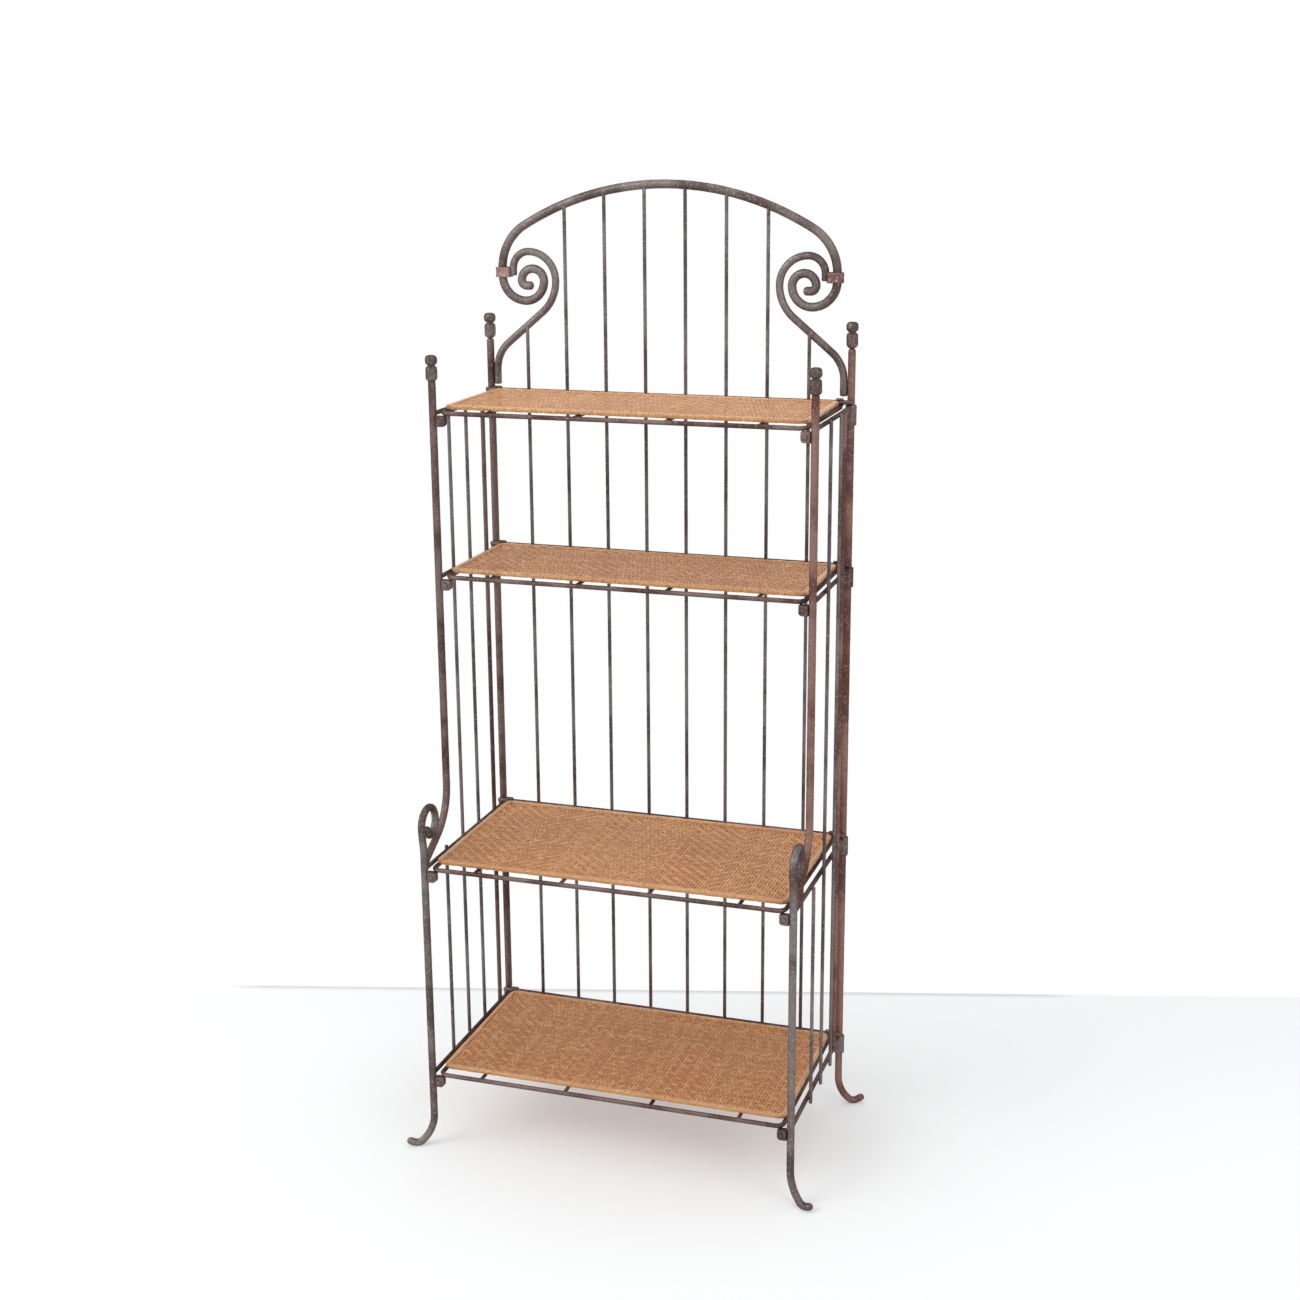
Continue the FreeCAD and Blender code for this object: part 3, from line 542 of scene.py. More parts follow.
front_bend = math.radians(FRONT_BEND_TURN)
bent_depth = FRONT_BEND_RADIUS * (1 - math.cos(front_bend))
slant = (UPPER_POST_Y - LEG_Y - bent_depth) / math.sin(front_bend)
for side, sign in SIDES:
    top = Vector((sign * POST_X, UPPER_POST_Y, FRONT_POST_TOP))
    steps = [
        run(FRONT_POST_TOP - FRONT_BEND_HEIGHT),
        bend(FRONT_BEND_RADIUS, FRONT_BEND_TURN, -1),
        run(slant - FRONT_END_GAP),
    ]
    make_piece(f"front_post_{side}", [bar(trace(top, -UP, BACK, steps), POST_RADIUS)])
print("slanting run", round(slant, 4), "m")

# %% [markdown]
# ## Finials
# Each post ends in a cast finial: a short taper, a barrel, a thin neck and a flattened
# ball. It could be put together from a cylinder and a ball, but a casting has no seams, so
# its whole outline is one rounded profile, with shallow casting marks.

# %% Finials
CAST_DENTS = 0.05
FINIAL_PROFILE = (
    (0.0000, 0.0060), (0.0004, 0.0064), (0.0022, 0.0082), (0.0040, 0.0097), (0.0056, 0.0100),
    (0.0130, 0.0100), (0.0200, 0.0099), (0.0226, 0.0094), (0.0240, 0.0080), (0.0248, 0.0064),
    (0.0256, 0.0060), (0.0264, 0.0063), (0.0274, 0.0078), (0.0290, 0.0093), (0.0312, 0.0102),
    (0.0345, 0.0105), (0.0378, 0.0102), (0.0402, 0.0092), (0.0418, 0.0075), (0.0427, 0.0050),
    (0.0430, 0.0020),
)
rear_finials = []
for side, sign in SIDES:
    base = Vector((sign * POST_X, REAR_Y, REAR_POST_TOP))
    rear_finials.append(turning(base, UP, FINIAL_PROFILE, dents=CAST_DENTS))
    base = Vector((sign * POST_X, UPPER_POST_Y, FRONT_POST_TOP))
    make_piece(f"front_finial_{side}", [turning(base, UP, FINIAL_PROFILE, dents=CAST_DENTS)])
make_piece("rear_finials", rear_finials)
print("finial height", FINIAL_PROFILE[-1][0])

# %% [markdown]
# ## Back spindles and back rails
# The spindles are plain quarter inch rods welded behind the rails, and the rails are the
# rods on which the shelves turn. An array modifier could repeat one spindle, but each pair
# ends at its own height under the arch, so every height is read from the solid's box.

# %% Spindles and rails
SPINDLE_Y = HINGE_Y + ROD_RADIUS + SPINDLE_RADIUS
SPINDLE_PAIRS = (("centre", 0.5), ("mid", 1.5), ("wide", 2.5), ("short", 3.5))
BACK_BAYS = 9
BAY = 2 * POST_X / BACK_BAYS
RAIL_OVERHANG = 0.006

for name, bays in SPINDLE_PAIRS:
    low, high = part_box(f"back_spindles_{name}")
    pair = []
    for side, sign in SIDES:
        foot = Vector((sign * bays * BAY, SPINDLE_Y, low.z))
        head = Vector((sign * bays * BAY, SPINDLE_Y, high.z))
        pair.append(thin_bar(foot, head))
    make_piece(f"back_spindles_{name}", pair)

rail_reach = POST_X + RAIL_OVERHANG
for number in LEVELS:
    left_end = Vector((-rail_reach, HINGE_Y, hinge_z(number)))
    right_end = Vector((rail_reach, HINGE_Y, hinge_z(number)))
    rail = bar(straight(left_end, right_end), ROD_RADIUS, sides=ROD_FACETS)
    make_piece(f"back_rail_{number}", [rail])
print("back dressed:", len(made_pieces))

# %% [markdown]
# ## Side panels
# Rails, a stile and three spindles are welded to the leg and post of each side, and four
# sleeves slip over the rear post, so the whole side swings out like a gate. A sleeve could
# be a solid cylinder round the post, but its mouth shows, so it is a closed ring with a
# bore. Each rail carries on to its sleeve as a short tang.

# %% Sleeves
STILE_SETBACK = 0.045
STILE_Y = REAR_Y - STILE_SETBACK
SLEEVE_HEIGHT = 0.034
SLEEVE_REACH = 0.0085
TANG_SHARE = 0.99
SLEEVE_PROFILE = (
    (0.0000, 0.00658), (0.0000, 0.0086), (0.0006, 0.0092), (0.0020, 0.0095), (0.0170, 0.0094),
    (0.0320, 0.0095), (0.0334, 0.0092), (0.0340, 0.0086), (0.0340, 0.00658),
)


def sleeve(x, z):
    """A sleeve on the post and the tang that joins it to the rail at height z."""
    base = Vector((x, REAR_Y, z + ROD_RADIUS - SLEEVE_HEIGHT))
    tang = straight(Vector((x, REAR_Y - SLEEVE_REACH, z)), Vector((x, STILE_Y, z)))
    return [
        turning(base, UP, SLEEVE_PROFILE, closed=True),
        bar(tang, ROD_RADIUS * TANG_SHARE, sides=RAIL_FACETS),
    ]


print("sleeve with tang:", len(sleeve(POST_X, 1)[0][0]), "+", len(sleeve(POST_X, 1)[1][0]))

# %% Side panels
SIDE_RAIL_DROP = 0.0012
SIDE_SPINDLES = ((1, 1), (2, 1), (3, 3))
SIDE_FIRST = 0.102
SIDE_PITCH = 0.072
SPINDLE_DROP = 0.003
RAIL_SHARE = 0.995


def side_rail_z(number):
    return LEVELS[number] - SIDE_RAIL_DROP


for side, sign in SIDES:
    x = sign * POST_X
    stile_low = Vector((x, STILE_Y, side_rail_z(4) - ROD_RADIUS))
    stile_high = Vector((x, STILE_Y, side_rail_z(1) + ROD_RADIUS))
    stile = bar(straight(stile_low, stile_high), ROD_RADIUS, sides=RAIL_FACETS)
    make_piece(f"side_stile_{side}", [stile])
    sleeves = []
    for number in LEVELS:
        z = side_rail_z(number)
        line = straight(Vector((x, STILE_Y, z)), Vector((x, front_y(number), z)))
        rail = bar(line, ROD_RADIUS * RAIL_SHARE, sides=RAIL_FACETS)
        make_piece(f"side_rail_{number}_{side}", [rail])
        sleeves += sleeve(x, z)
    make_piece(f"hinge_knuckles_{side}", sleeves)
    spindles = []
    spindle_x = x + sign * (ROD_RADIUS + SPINDLE_RADIUS)
    for position, top_level in SIDE_SPINDLES:
        y = REAR_Y - SIDE_FIRST - SIDE_PITCH * (position - 1)
        foot = Vector((spindle_x, y, side_rail_z(4) - ROD_RADIUS - SPINDLE_DROP))
        head = Vector((spindle_x, y, side_rail_z(top_level) + ROD_RADIUS))
        spindles.append(thin_bar(foot, head))
    make_piece(f"side_spindles_{side}", spindles)
print("sides dressed:", len(made_pieces))

# %% [markdown]
# ## Shelf rests
# A small forged block with a round lower edge sticks out of each post under the corner of
# a shelf, and a domed bolt shows on its front. A cube with a bevel would round all edges
# alike. The block is skinned from slices instead, so its lower outer edge can be rounder
# than the others, and the outermost slices shrink to ease its ends.

# %% Rest block
REST_LENGTH = 0.016
REST_WIDTH = 0.013
REST_HEIGHT = 0.018
REST_EDGE = 0.0015
REST_CORNER = 0.006
REST_MIDDLE = 0.45
REST_SLICES = (
    (-0.5, 0.90), (-0.44, 0.97), (-0.34, 1.0), (0.34, 1.0), (0.44, 0.97), (0.5, 0.90),
)
EDGE_STEPS = 6
CORNER_STEPS = 8


def quarter_arc(out, down, radius, start, steps):
    """Points of a quarter circle round (out, down), falling from start degrees."""
    angles = [math.radians(start - 90 * index / steps) for index in range(steps + 1)]
    return [(out + radius * math.cos(a), down + radius * math.sin(a)) for a in angles]


def rest_block(inner_x, sign, y, top):
    """A block whose lower outer corner is rounded and whose edges are eased."""
    outline = [(0, 0)]
    outline += quarter_arc(REST_LENGTH - REST_EDGE, -REST_EDGE, REST_EDGE, 90, EDGE_STEPS)
    outline += quarter_arc(
        REST_LENGTH - REST_CORNER, REST_CORNER - REST_HEIGHT, REST_CORNER, 0, CORNER_STEPS
    )
    outline.append((0, -REST_HEIGHT))
    middle_out, middle_down = REST_LENGTH * REST_MIDDLE, -REST_HEIGHT / 2
    rings = []
    for offset, scale in REST_SLICES:
        ring = []
        for out, down in outline:
            x = inner_x - sign * (middle_out + (out - middle_out) * scale)
            z = top + middle_down + (down - middle_down) * scale
            ring.append(Vector((x, y + offset * REST_WIDTH, z)))
        rings.append(ring)
    return ring_skin(rings)


print("rest block:", len(rest_block(0, 1, 0, 0)[0]), "points")

# %% Shelf rests and bolts
SEAT_GAP = 0.0003
BOLT_FACETS = 20
BOLT_PROFILE = (
    (0.0000, 0.0044), (0.0006, 0.0045), (0.0016, 0.0041), (0.0026, 0.0032), (0.0032, 0.0020),
    (0.0035, 0.0006),
)

for side, sign in SIDES:
    blocks = []
    bolts = []
    inner_x = sign * (POST_X - POST_RADIUS)
    for number in LEVELS:
        y = front_y(number)
        top = LEVELS[number] - ROD_RADIUS - SEAT_GAP
        blocks.append(rest_block(inner_x, sign, y, top))
        bolt_x = inner_x - sign * REST_LENGTH / 2
        bolt_base = Vector((bolt_x, y - REST_WIDTH / 2, top - REST_HEIGHT / 2))
        bolts.append(turning(bolt_base, -BACK, BOLT_PROFILE, sides=BOLT_FACETS))
    make_piece(f"shelf_rests_{side}", blocks)
    make_piece(f"rest_bolts_{side}", bolts)
print("rests dressed:", len(made_pieces))

# %% [markdown]
# ## Collars
# A collar is a short flat band wrapped hot round the arch and the stem's end. It could be
# a scaled ring, but scaling would make its wall uneven. It is a closed skin over a rounded
# rectangle instead, which grows and shrinks from row to row: the long edges are rounded,
# and the wrap pulls the middle in a little.

# %% Rounded rectangle
CORNER_POINTS = 6


def round_rectangle(half_x, half_y, corner, count=CORNER_POINTS):
    """Corner arcs of a rounded rectangle, going round once."""
    points = []
    for start, sx, sy in ((0, 1, 1), (90, -1, 1), (180, -1, -1), (270, 1, -1)):
        for index in range(count + 1):
            angle = math.radians(start + 90 * index / count)
            points.append((
                sx * (half_x - corner) + corner * math.cos(angle),
                sy * (half_y - corner) + corner * math.sin(angle),
            ))
    return points


print("rounded rectangle:", len(round_rectangle(0.02, 0.01, 0.004)), "points")

# %% Collar sizes
COLLAR_HEIGHT = 0.017
COLLAR_WALL = 0.0026
COLLAR_LAP = 0.003

crown_drop = crown_to_shoulder * math.cos(math.radians(arch_spring))
collar_middle = ARCH_TOP - CROWN_RADIUS + crown_drop - ARCH_DROP / 2
collar_low, collar_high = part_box("scroll_collars")
collar_in = stem_tip_x + POST_RADIUS - COLLAR_LAP
collar_half_length = (collar_high.x - collar_in) / 2
collar_half_width = (collar_high.y - collar_low.y) / 2
collar_centre_x = (collar_high.x + collar_in) / 2
print("collar half sizes", round(collar_half_length, 4), round(collar_half_width, 4))

# %% Collars
COLLAR_CORNER = 0.0055
CORNER_GROWTH = 0.8
COLLAR_ROWS = (
    (-0.50, -COLLAR_WALL), (-0.50, -0.0007), (-0.47, -0.0001), (-0.40, 0.0), (-0.15, -0.0004),
    (0.0, -0.0005), (0.15, -0.0004), (0.40, 0.0), (0.47, -0.0001), (0.50, -0.0007),
    (0.50, -COLLAR_WALL),
)


def collar_band(sign):
    """The closed band of one side."""
    rings = []
    for share, grow in COLLAR_ROWS:
        outline = round_rectangle(
            collar_half_length + grow, collar_half_width + grow,
            COLLAR_CORNER + grow * CORNER_GROWTH,
        )
        z = collar_middle + share * COLLAR_HEIGHT
        rings.append([
            Vector((sign * collar_centre_x + x, REAR_Y + y, z)) for x, y in outline
        ])
    return ring_skin(rings, closed=True)


make_piece("scroll_collars", [collar_band(sign) for side, sign in SIDES])
print("collars:", len(made_pieces["scroll_collars"].data.vertices), "points")

# %% [markdown]
# ## Hinge eyes
# The rear ends of a shelf's rod are flattened and rolled into eyes that hook round the back
# rail. A ring with a piece cut out could stand for an eye, but the flattened strap that
# leads into it would be missing. Here one strap follows a line that leaves the rod, passes
# under the rail and rolls up behind it, and its width grows on the way.

# %% Hinge eyes
EYE_WIDTH = 0.012
EYE_INNER = ROD_RADIUS + HINGE_PLAY
EYE_WALL = 0.0028
EYE_TURN = 230
EYE_STEPS = 27
EYE_CORNER = 0.0012
EYE_CORNER_POINTS = 3
WALL_SHARE = 0.98
STRAP_START = 0.62
REAR_ROD_SETBACK = 0.022
STRAP_LINE = ((-REAR_ROD_SETBACK, -0.0066, 0.5), (-0.012, -0.0059, 0.9))


def hinge_eye(x_outer, sign, z):
    """A flat strap that leaves the rod and rolls up behind the rail and over it."""
    middle = EYE_INNER + EYE_WALL / 2
    centre_line = [(HINGE_Y + y, z + rise, share) for y, rise, share in STRAP_LINE]
    for index in range(EYE_STEPS + 1):
        angle = math.radians(-90 + EYE_TURN * index / EYE_STEPS)
        centre_line.append(
            (HINGE_Y + middle * math.cos(angle), z + middle * math.sin(angle), 1.0)
        )
    rings = []
    for index, (y, height, share) in enumerate(centre_line):
        before = centre_line[max(0, index - 1)]
        after = centre_line[min(len(centre_line) - 1, index + 1)]
        along = Vector((0, after[0] - before[0], after[1] - before[1])).normalized()
        across = Vector((0, -along.z, along.y))
        half_width = EYE_WIDTH / 2 * (STRAP_START + (1 - STRAP_START) * share)
        middle_x = x_outer - sign * EYE_WIDTH / 2
        outline = round_rectangle(
            half_width, EYE_WALL / 2 * WALL_SHARE, EYE_CORNER, count=EYE_CORNER_POINTS
        )
        rings.append([
            Vector((middle_x + a, y, height)) + across * b for a, b in outline
        ])
    return ring_skin(rings)


eye_points = hinge_eye(0, 1, 0)[0]
print("eye height", round(max(p.z for p in eye_points) - min(p.z for p in eye_points), 4))

# %% [markdown]
# ## Shelf frames
# One rod makes the front and both sides of a shelf, and a rear rod and four bars under the
# panel carry the weaving. Four straight rods would meet in sharp corners, so the frame is
# traced as one bar with bent corners. The bars keep to the rod's top, where the panel lies.

# %% Shelf frames
SHELF_ROD_X = 0.309
CORNER_RADIUS = 0.013
ROD_END_GAP = 0.002
CROSS_BAR_PITCH = 0.155
CROSS_BAR_PLACES = (-1.5, -0.5, 0.5, 1.5)
REAR_ROD_SHARE = 0.99

for number in LEVELS:
    z = LEVELS[number]
    near_y = front_y(number)
    rod_end_y = HINGE_Y - ROD_END_GAP
    steps = [
        run(rod_end_y - near_y - CORNER_RADIUS),
        bend(CORNER_RADIUS, 90, -1),
        run(2 * (SHELF_ROD_X - CORNER_RADIUS)),
        bend(CORNER_RADIUS, 90, -1),
        run(rod_end_y - near_y - CORNER_RADIUS),
    ]
    start = Vector((SHELF_ROD_X, rod_end_y, z))
    shapes = [bar(trace(start, -BACK, RIGHT, steps), ROD_RADIUS, sides=ROD_FACETS)]
    for side, sign in SIDES:
        shapes.append(hinge_eye(sign * (SHELF_ROD_X + ROD_RADIUS), sign, hinge_z(number)))
    make_piece(f"shelf_frame_{number}", shapes)

    rear_y = HINGE_Y - REAR_ROD_SETBACK
    reach = SHELF_ROD_X - ROD_RADIUS * 0.5
    line = straight(Vector((-reach, rear_y, z)), Vector((reach, rear_y, z)))
    bars = [bar(line, ROD_RADIUS * REAR_ROD_SHARE, sides=RAIL_FACETS)]
    cross_z = z + ROD_RADIUS - SPINDLE_RADIUS
    for position in CROSS_BAR_PLACES:
        x = CROSS_BAR_PITCH * position
        bars.append(thin_bar(Vector((x, rear_y, cross_z)), Vector((x, near_y, cross_z))))
    make_piece(f"shelf_bars_{number}", bars)
print("frames dressed:", len(made_pieces))

# %% [markdown]
# ## Splints
# A panel is woven from flat rattan splints that run front to back and side to side. Each
# passes over two and under two, one step on from its neighbour, and that twill gives
# slanting steps. The slant turns back at intervals, which makes the zigzag. A texture could
# draw the pattern, but it would be flat at the edge and from below, so every splint is a
# closed ribbon of its own.

# %% Splints
SPLINT_HALF_WIDTH = 0.00262
SPLINT_HALF_THICKNESS = 0.00078
SPLINT_SECTION = ((-1, 0), (-0.55, -1), (0.55, -1), (1, 0), (0.5, 1), (-0.5, 1))
ZIGZAG = 16


def is_over(column, row):
    """True where the front-to-back splint passes over the crossing one."""
    step = column % (2 * ZIGZAG)
    phase = step if step < ZIGZAG else 2 * ZIGZAG - step
    return (row + phase) % 4 < 2


def splint(places, across, width_share):
    """A lens-shaped ribbon through places, with across as its level side direction."""
    half = SPLINT_HALF_WIDTH * width_share
    rings = []
    for index, place in enumerate(places):
        before = places[max(0, index - 1)]
        after = places[min(len(places) - 1, index + 1)]
        along = (after - before).normalized()
        normal = along.cross(across).normalized()
        if normal.z < 0:
            normal = -normal
        rings.append([
            place + across * (half * out) + normal * (SPLINT_HALF_THICKNESS * rise)
            for out, rise in SPLINT_SECTION
        ])
    return ring_skin(rings)


print("twill:", ["".join("/" if is_over(c, r) else "-" for c in range(8)) for r in range(4)])

# %% [markdown]
# ## Woven panels
# No two splints of a real panel are cut alike. A modifier could spread copies of one, but
# here each splint gets its own small shift, width and tone. The tone and the direction are
# stored on its points as attributes, so that one material can colour every splint by itself.

# %% Weave one panel
PITCH = 0.0056
WAVE = 0.00125
WEAVE_LIFT = 0.0004
SPLINT_TUCK = 0.002
SPLINT_SHIFT = 0.0002
WAVE_SHIFT = 0.00012
NARROWEST = 0.95
CROSSING_PLACES = (0.24, 0.76)
weaver = random.Random(11)


def woven_panel(number):
    """Both families of splints of one panel, with a tone and a family for each."""
    low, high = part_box(f"wicker_panel_{number}")
    middle_z = (low.z + high.z) / 2 + WEAVE_LIFT
    columns = round((high.x - low.x) / PITCH)
    rows = round((high.y - low.y) / PITCH)
    pitch_x = (high.x - low.x) / columns
    pitch_y = (high.y - low.y) / rows
    shapes = []
    tones = []
    for column in range(columns):
        x = low.x + pitch_x * (column + 0.5) + weaver.uniform(-SPLINT_SHIFT, SPLINT_SHIFT)
        places = [Vector((x, low.y - SPLINT_TUCK, middle_z))]
        for row in range(rows):
            height = WAVE if is_over(column, row) else -WAVE
            height += weaver.uniform(-WAVE_SHIFT, WAVE_SHIFT)
            for share in CROSSING_PLACES:
                places.append(Vector((x, low.y + pitch_y * (row + share), middle_z + height)))
        places.append(Vector((x, high.y + SPLINT_TUCK, middle_z)))
        shapes.append(splint(places, RIGHT, weaver.uniform(NARROWEST, 1.0)))
        tones.append((weaver.random(), 0))
    for row in range(rows):
        y = low.y + pitch_y * (row + 0.5) + weaver.uniform(-SPLINT_SHIFT, SPLINT_SHIFT)
        places = [Vector((low.x - SPLINT_TUCK, y, middle_z))]
        for column in range(columns):
            height = -WAVE if is_over(column, row) else WAVE
            height += weaver.uniform(-WAVE_SHIFT, WAVE_SHIFT)
            for share in CROSSING_PLACES:
                places.append(Vector((low.x + pitch_x * (column + share), y, middle_z + height)))
        places.append(Vector((high.x + SPLINT_TUCK, y, middle_z)))
        shapes.append(splint(places, BACK, weaver.uniform(NARROWEST, 1.0)))
        tones.append((weaver.random(), 1))
    return shapes, tones


print("a panel is woven at a pitch of", PITCH, "m")

# %% Lay the panels
for number in LEVELS:
    shapes, tones = woven_panel(number)
    piece = make_piece(f"wicker_panel_{number}", shapes, suffix="woven", smooth_angle=180)
    for index, name in enumerate(("splint_tone", "splint_family")):
        values = []
        for splint_values, (vertices, faces) in zip(tones, shapes):
            values += [splint_values[index]] * len(vertices)
        layer = piece.data.attributes.new(name, "FLOAT", "POINT")
        layer.data.foreach_set("value", values)
    print(piece.name, len(shapes), "splints", len(piece.data.vertices), "points")

# %% [markdown]
# ## Binding
# A flat strip of rattan is folded over the edge of the weaving all the way round. A bevelled
# curve could make it, but its section would be the same everywhere. This one is swept as a
# soft rounded section that swells a little between the stitches that hold it, as a strip
# pulled down at intervals does.

# %% Binding strip
BINDING_WIDTH = 0.009
BINDING_CORNER = 0.009
BINDING_CORNER_POINTS = 8
BINDING_STEP = 0.0035
SECTION_CORNER = 0.0028
SECTION_POINTS = 4
STITCH_PITCH = 0.031
STITCH_SHARPNESS = 6
STITCH_PULL_IN = 0.00035
STITCH_PULL_DOWN = 0.0005
SAG = 0.00018
SAG_RATE = 60
SAG_SPREAD = 5


def binding_ring(number):
    """The closed strip round one panel."""
    low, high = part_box(f"panel_binding_{number}")
    height = high.z - low.z
    half_x = (high.x - low.x) / 2 - BINDING_WIDTH / 2
    half_y = (high.y - low.y) / 2 - BINDING_WIDTH / 2
    centre = Vector(((low.x + high.x) / 2, (low.y + high.y) / 2, (low.z + high.z) / 2))
    outline = round_rectangle(half_x, half_y, BINDING_CORNER, count=BINDING_CORNER_POINTS)
    path = []
    for index, (x, y) in enumerate(outline):
        here = Vector((x, y, 0))
        there = Vector((*outline[(index + 1) % len(outline)], 0))
        count = max(1, round((there - here).length / BINDING_STEP))
        path += [here.lerp(there, step / count) for step in range(count)]
    rings = []
    travelled = 0.0
    for index, place in enumerate(path):
        before = path[index - 1]
        after = path[(index + 1) % len(path)]
        along = (after - before).normalized()
        inward = Vector((-along.y, along.x, 0))
        travelled += (after - place).length
        pull = max(0.0, math.cos(math.tau * travelled / STITCH_PITCH)) ** STITCH_SHARPNESS
        sag = SAG * noise.noise(Vector((travelled * SAG_RATE, number * SAG_SPREAD, 0)))
        section = round_rectangle(
            BINDING_WIDTH / 2 - STITCH_PULL_IN * pull,
            height / 2 - STITCH_PULL_DOWN * pull - abs(sag),
            SECTION_CORNER, count=SECTION_POINTS,
        )
        rings.append([centre + place + inward * a + UP * b for a, b in section])
    return ring_skin(rings, closed=True)


print("stitches along the front:", round(2 * POST_X / STITCH_PITCH))

# %% Bind the panels
for number in LEVELS:
    make_piece(f"panel_binding_{number}", [binding_ring(number)], suffix="rolled")
print("pieces:", len(made_pieces), "of", len(body_of_node))
assert len(made_pieces) == len(body_of_node)

# %% [markdown]
# ## Building finishes from nodes
# A finish could be clicked together in the shader editor. Written as code it can be read
# and repeated, so these helpers add a node and feed its inputs, either with a link from
# another node or with a plain value on the socket itself.

# %% Node helpers
COLOUR = "NodeSocketColor"
NUMBER = "NodeSocketFloat"
POINT = "NodeSocketVector"


def feed(tree, node, sources):
    """Links outputs to a node's inputs, or sets plain values on them."""
    for key, source in sources.items():
        if isinstance(source, bpy.types.NodeSocket):
            tree.links.new(source, node.inputs[key])
        else:
            node.inputs[key].default_value = source


def add_node(tree, kind, sources=None, **settings):
    """Adds a node, sets its own properties and feeds its inputs."""
    node = tree.nodes.new(kind)
    for key, value in settings.items():
        setattr(node, key, value)
    feed(tree, node, sources or {})
    return node


def new_group(name, inputs, outputs):
    """A shader node group with its input and output nodes."""
    group = bpy.data.node_groups.new(name, "ShaderNodeTree")
    for label, kind, default in inputs:
        socket = group.interface.new_socket(label, in_out="INPUT", socket_type=kind)
        if default is not None:
            socket.default_value = default
    for label, kind in outputs:
        group.interface.new_socket(label, in_out="OUTPUT", socket_type=kind)
    return group, group.nodes.new("NodeGroupInput"), group.nodes.new("NodeGroupOutput")


print("socket kinds:", COLOUR, NUMBER, POINT)

# %% Colours and ranges
def arithmetic(tree, operation, *values):
    """What a math node makes of links or plain numbers."""
    sources = dict(enumerate(values))
    return add_node(tree, "ShaderNodeMath", sources, operation=operation).outputs[0]


def mix_colours(tree, factor, first, second):
    sources = {0: factor, 6: first, 7: second}
    return add_node(tree, "ShaderNodeMix", sources, data_type="RGBA").outputs[2]


def ramp(tree, source, low, high):
    """Stretches the range low to high to 0 to 1, clamped and smooth."""
    sources = {0: source, 1: low, 2: high}
    ranged = add_node(tree, "ShaderNodeMapRange", sources, interpolation_type="SMOOTHSTEP")
    return ranged.outputs[0]


def spread(tree, source, low, high):
    """Lays the range 0 to 1 over low to high."""
    return add_node(tree, "ShaderNodeMapRange", {0: source, 3: low, 4: high}).outputs[0]


def cloud(tree, point, scale, detail):
    """A soft noise over the surface."""
    sources = {"Vector": point, "Scale": scale, "Detail": detail}
    return add_node(tree, "ShaderNodeTexNoise", sources).outputs["Fac"]


def object_point(tree):
    """The place on the piece itself, so that a finish moves with it."""
    return add_node(tree, "ShaderNodeTexCoord").outputs["Object"]


print("helpers:", [helper.__name__ for helper in (arithmetic, mix_colours, ramp, spread, cloud)])

# %% [markdown]
# ## Hammer marks
# Under the paint, the iron is covered in small round hammer marks. They could all be
# modelled, but at 8 mm across and a fraction of a millimetre deep they only need to bend
# the light. Soft Voronoi cells give the round hollows, and a quick noise adds the ripple of
# the paint. Every iron finish uses them, so they are built once, as a node group.

# %% Hammer marks
MARK_SIZE = 0.008
MARK_SOFTNESS = 0.6
HOLLOW_RANGE = (0.05, 0.75)
RIPPLE_SCALE = 900.0
RIPPLE_DETAIL = 3.0
RIPPLE_HEIGHT = 0.16

hammer_group, hammer_in, hammer_out = new_group(
    "hammered_surface",
    [("Point", POINT, None), ("Mark Size", NUMBER, MARK_SIZE)],
    [("Height", NUMBER), ("Hollow", NUMBER)],
)
hammer_point = hammer_in.outputs["Point"]
mark_scale = arithmetic(hammer_group, "DIVIDE", 1.0, hammer_in.outputs["Mark Size"])
mark_cells = add_node(
    hammer_group, "ShaderNodeTexVoronoi",
    {"Vector": hammer_point, "Scale": mark_scale, "Smoothness": MARK_SOFTNESS},
    feature="SMOOTH_F1",
)
hollow = ramp(hammer_group, mark_cells.outputs["Distance"], *HOLLOW_RANGE)
ripple = cloud(hammer_group, hammer_point, RIPPLE_SCALE, RIPPLE_DETAIL)
mark_height = arithmetic(hammer_group, "MULTIPLY_ADD", ripple, RIPPLE_HEIGHT, hollow)
feed(hammer_group, hammer_out, {"Height": mark_height, "Hollow": hollow})
print(hammer_group.name, "has", len(hammer_group.nodes), "nodes")

# %% [markdown]
# ## Three tones of paint
# The paint was brushed on unevenly and has rubbed through in specks. One colour with more
# or less roughness would look like plastic. So a slow noise moves between a deep and a
# middle tone, as the coat is thicker or thinner, and a quick noise lays a light tone over
# both in specks. The specks are partly paint rubbed through and partly painted glints.

# %% Three tones
PATCH_SCALE = 11.0
PATCH_DETAIL = 4.0
PATCH_RANGE = (0.38, 0.60)
SPECK_SCALE = 260.0
SPECK_DETAIL = 5.0
SPECK_RANGE = (0.50, 0.72)

tone_group, tone_in, tone_out = new_group(
    "three_tones",
    [("Point", POINT, None), ("Deep", COLOUR, None), ("Middle", COLOUR, None),
     ("Light", COLOUR, None), ("Light Amount", NUMBER, 0.5)],
    [("Colour", COLOUR)],
)
tone_point = tone_in.outputs["Point"]
patches = ramp(tone_group, cloud(tone_group, tone_point, PATCH_SCALE, PATCH_DETAIL), *PATCH_RANGE)
specks = ramp(tone_group, cloud(tone_group, tone_point, SPECK_SCALE, SPECK_DETAIL), *SPECK_RANGE)
# light specks: partly paint rubbed through, partly painted glints of light
wear_and_glints = arithmetic(tone_group, "MULTIPLY", specks, tone_in.outputs["Light Amount"])
coat = mix_colours(tone_group, patches, tone_in.outputs["Deep"], tone_in.outputs["Middle"])
toned = mix_colours(tone_group, wear_and_glints, coat, tone_in.outputs["Light"])
feed(tone_group, tone_out, {"Colour": toned})
print(tone_group.name, "has", len(tone_group.nodes), "nodes")

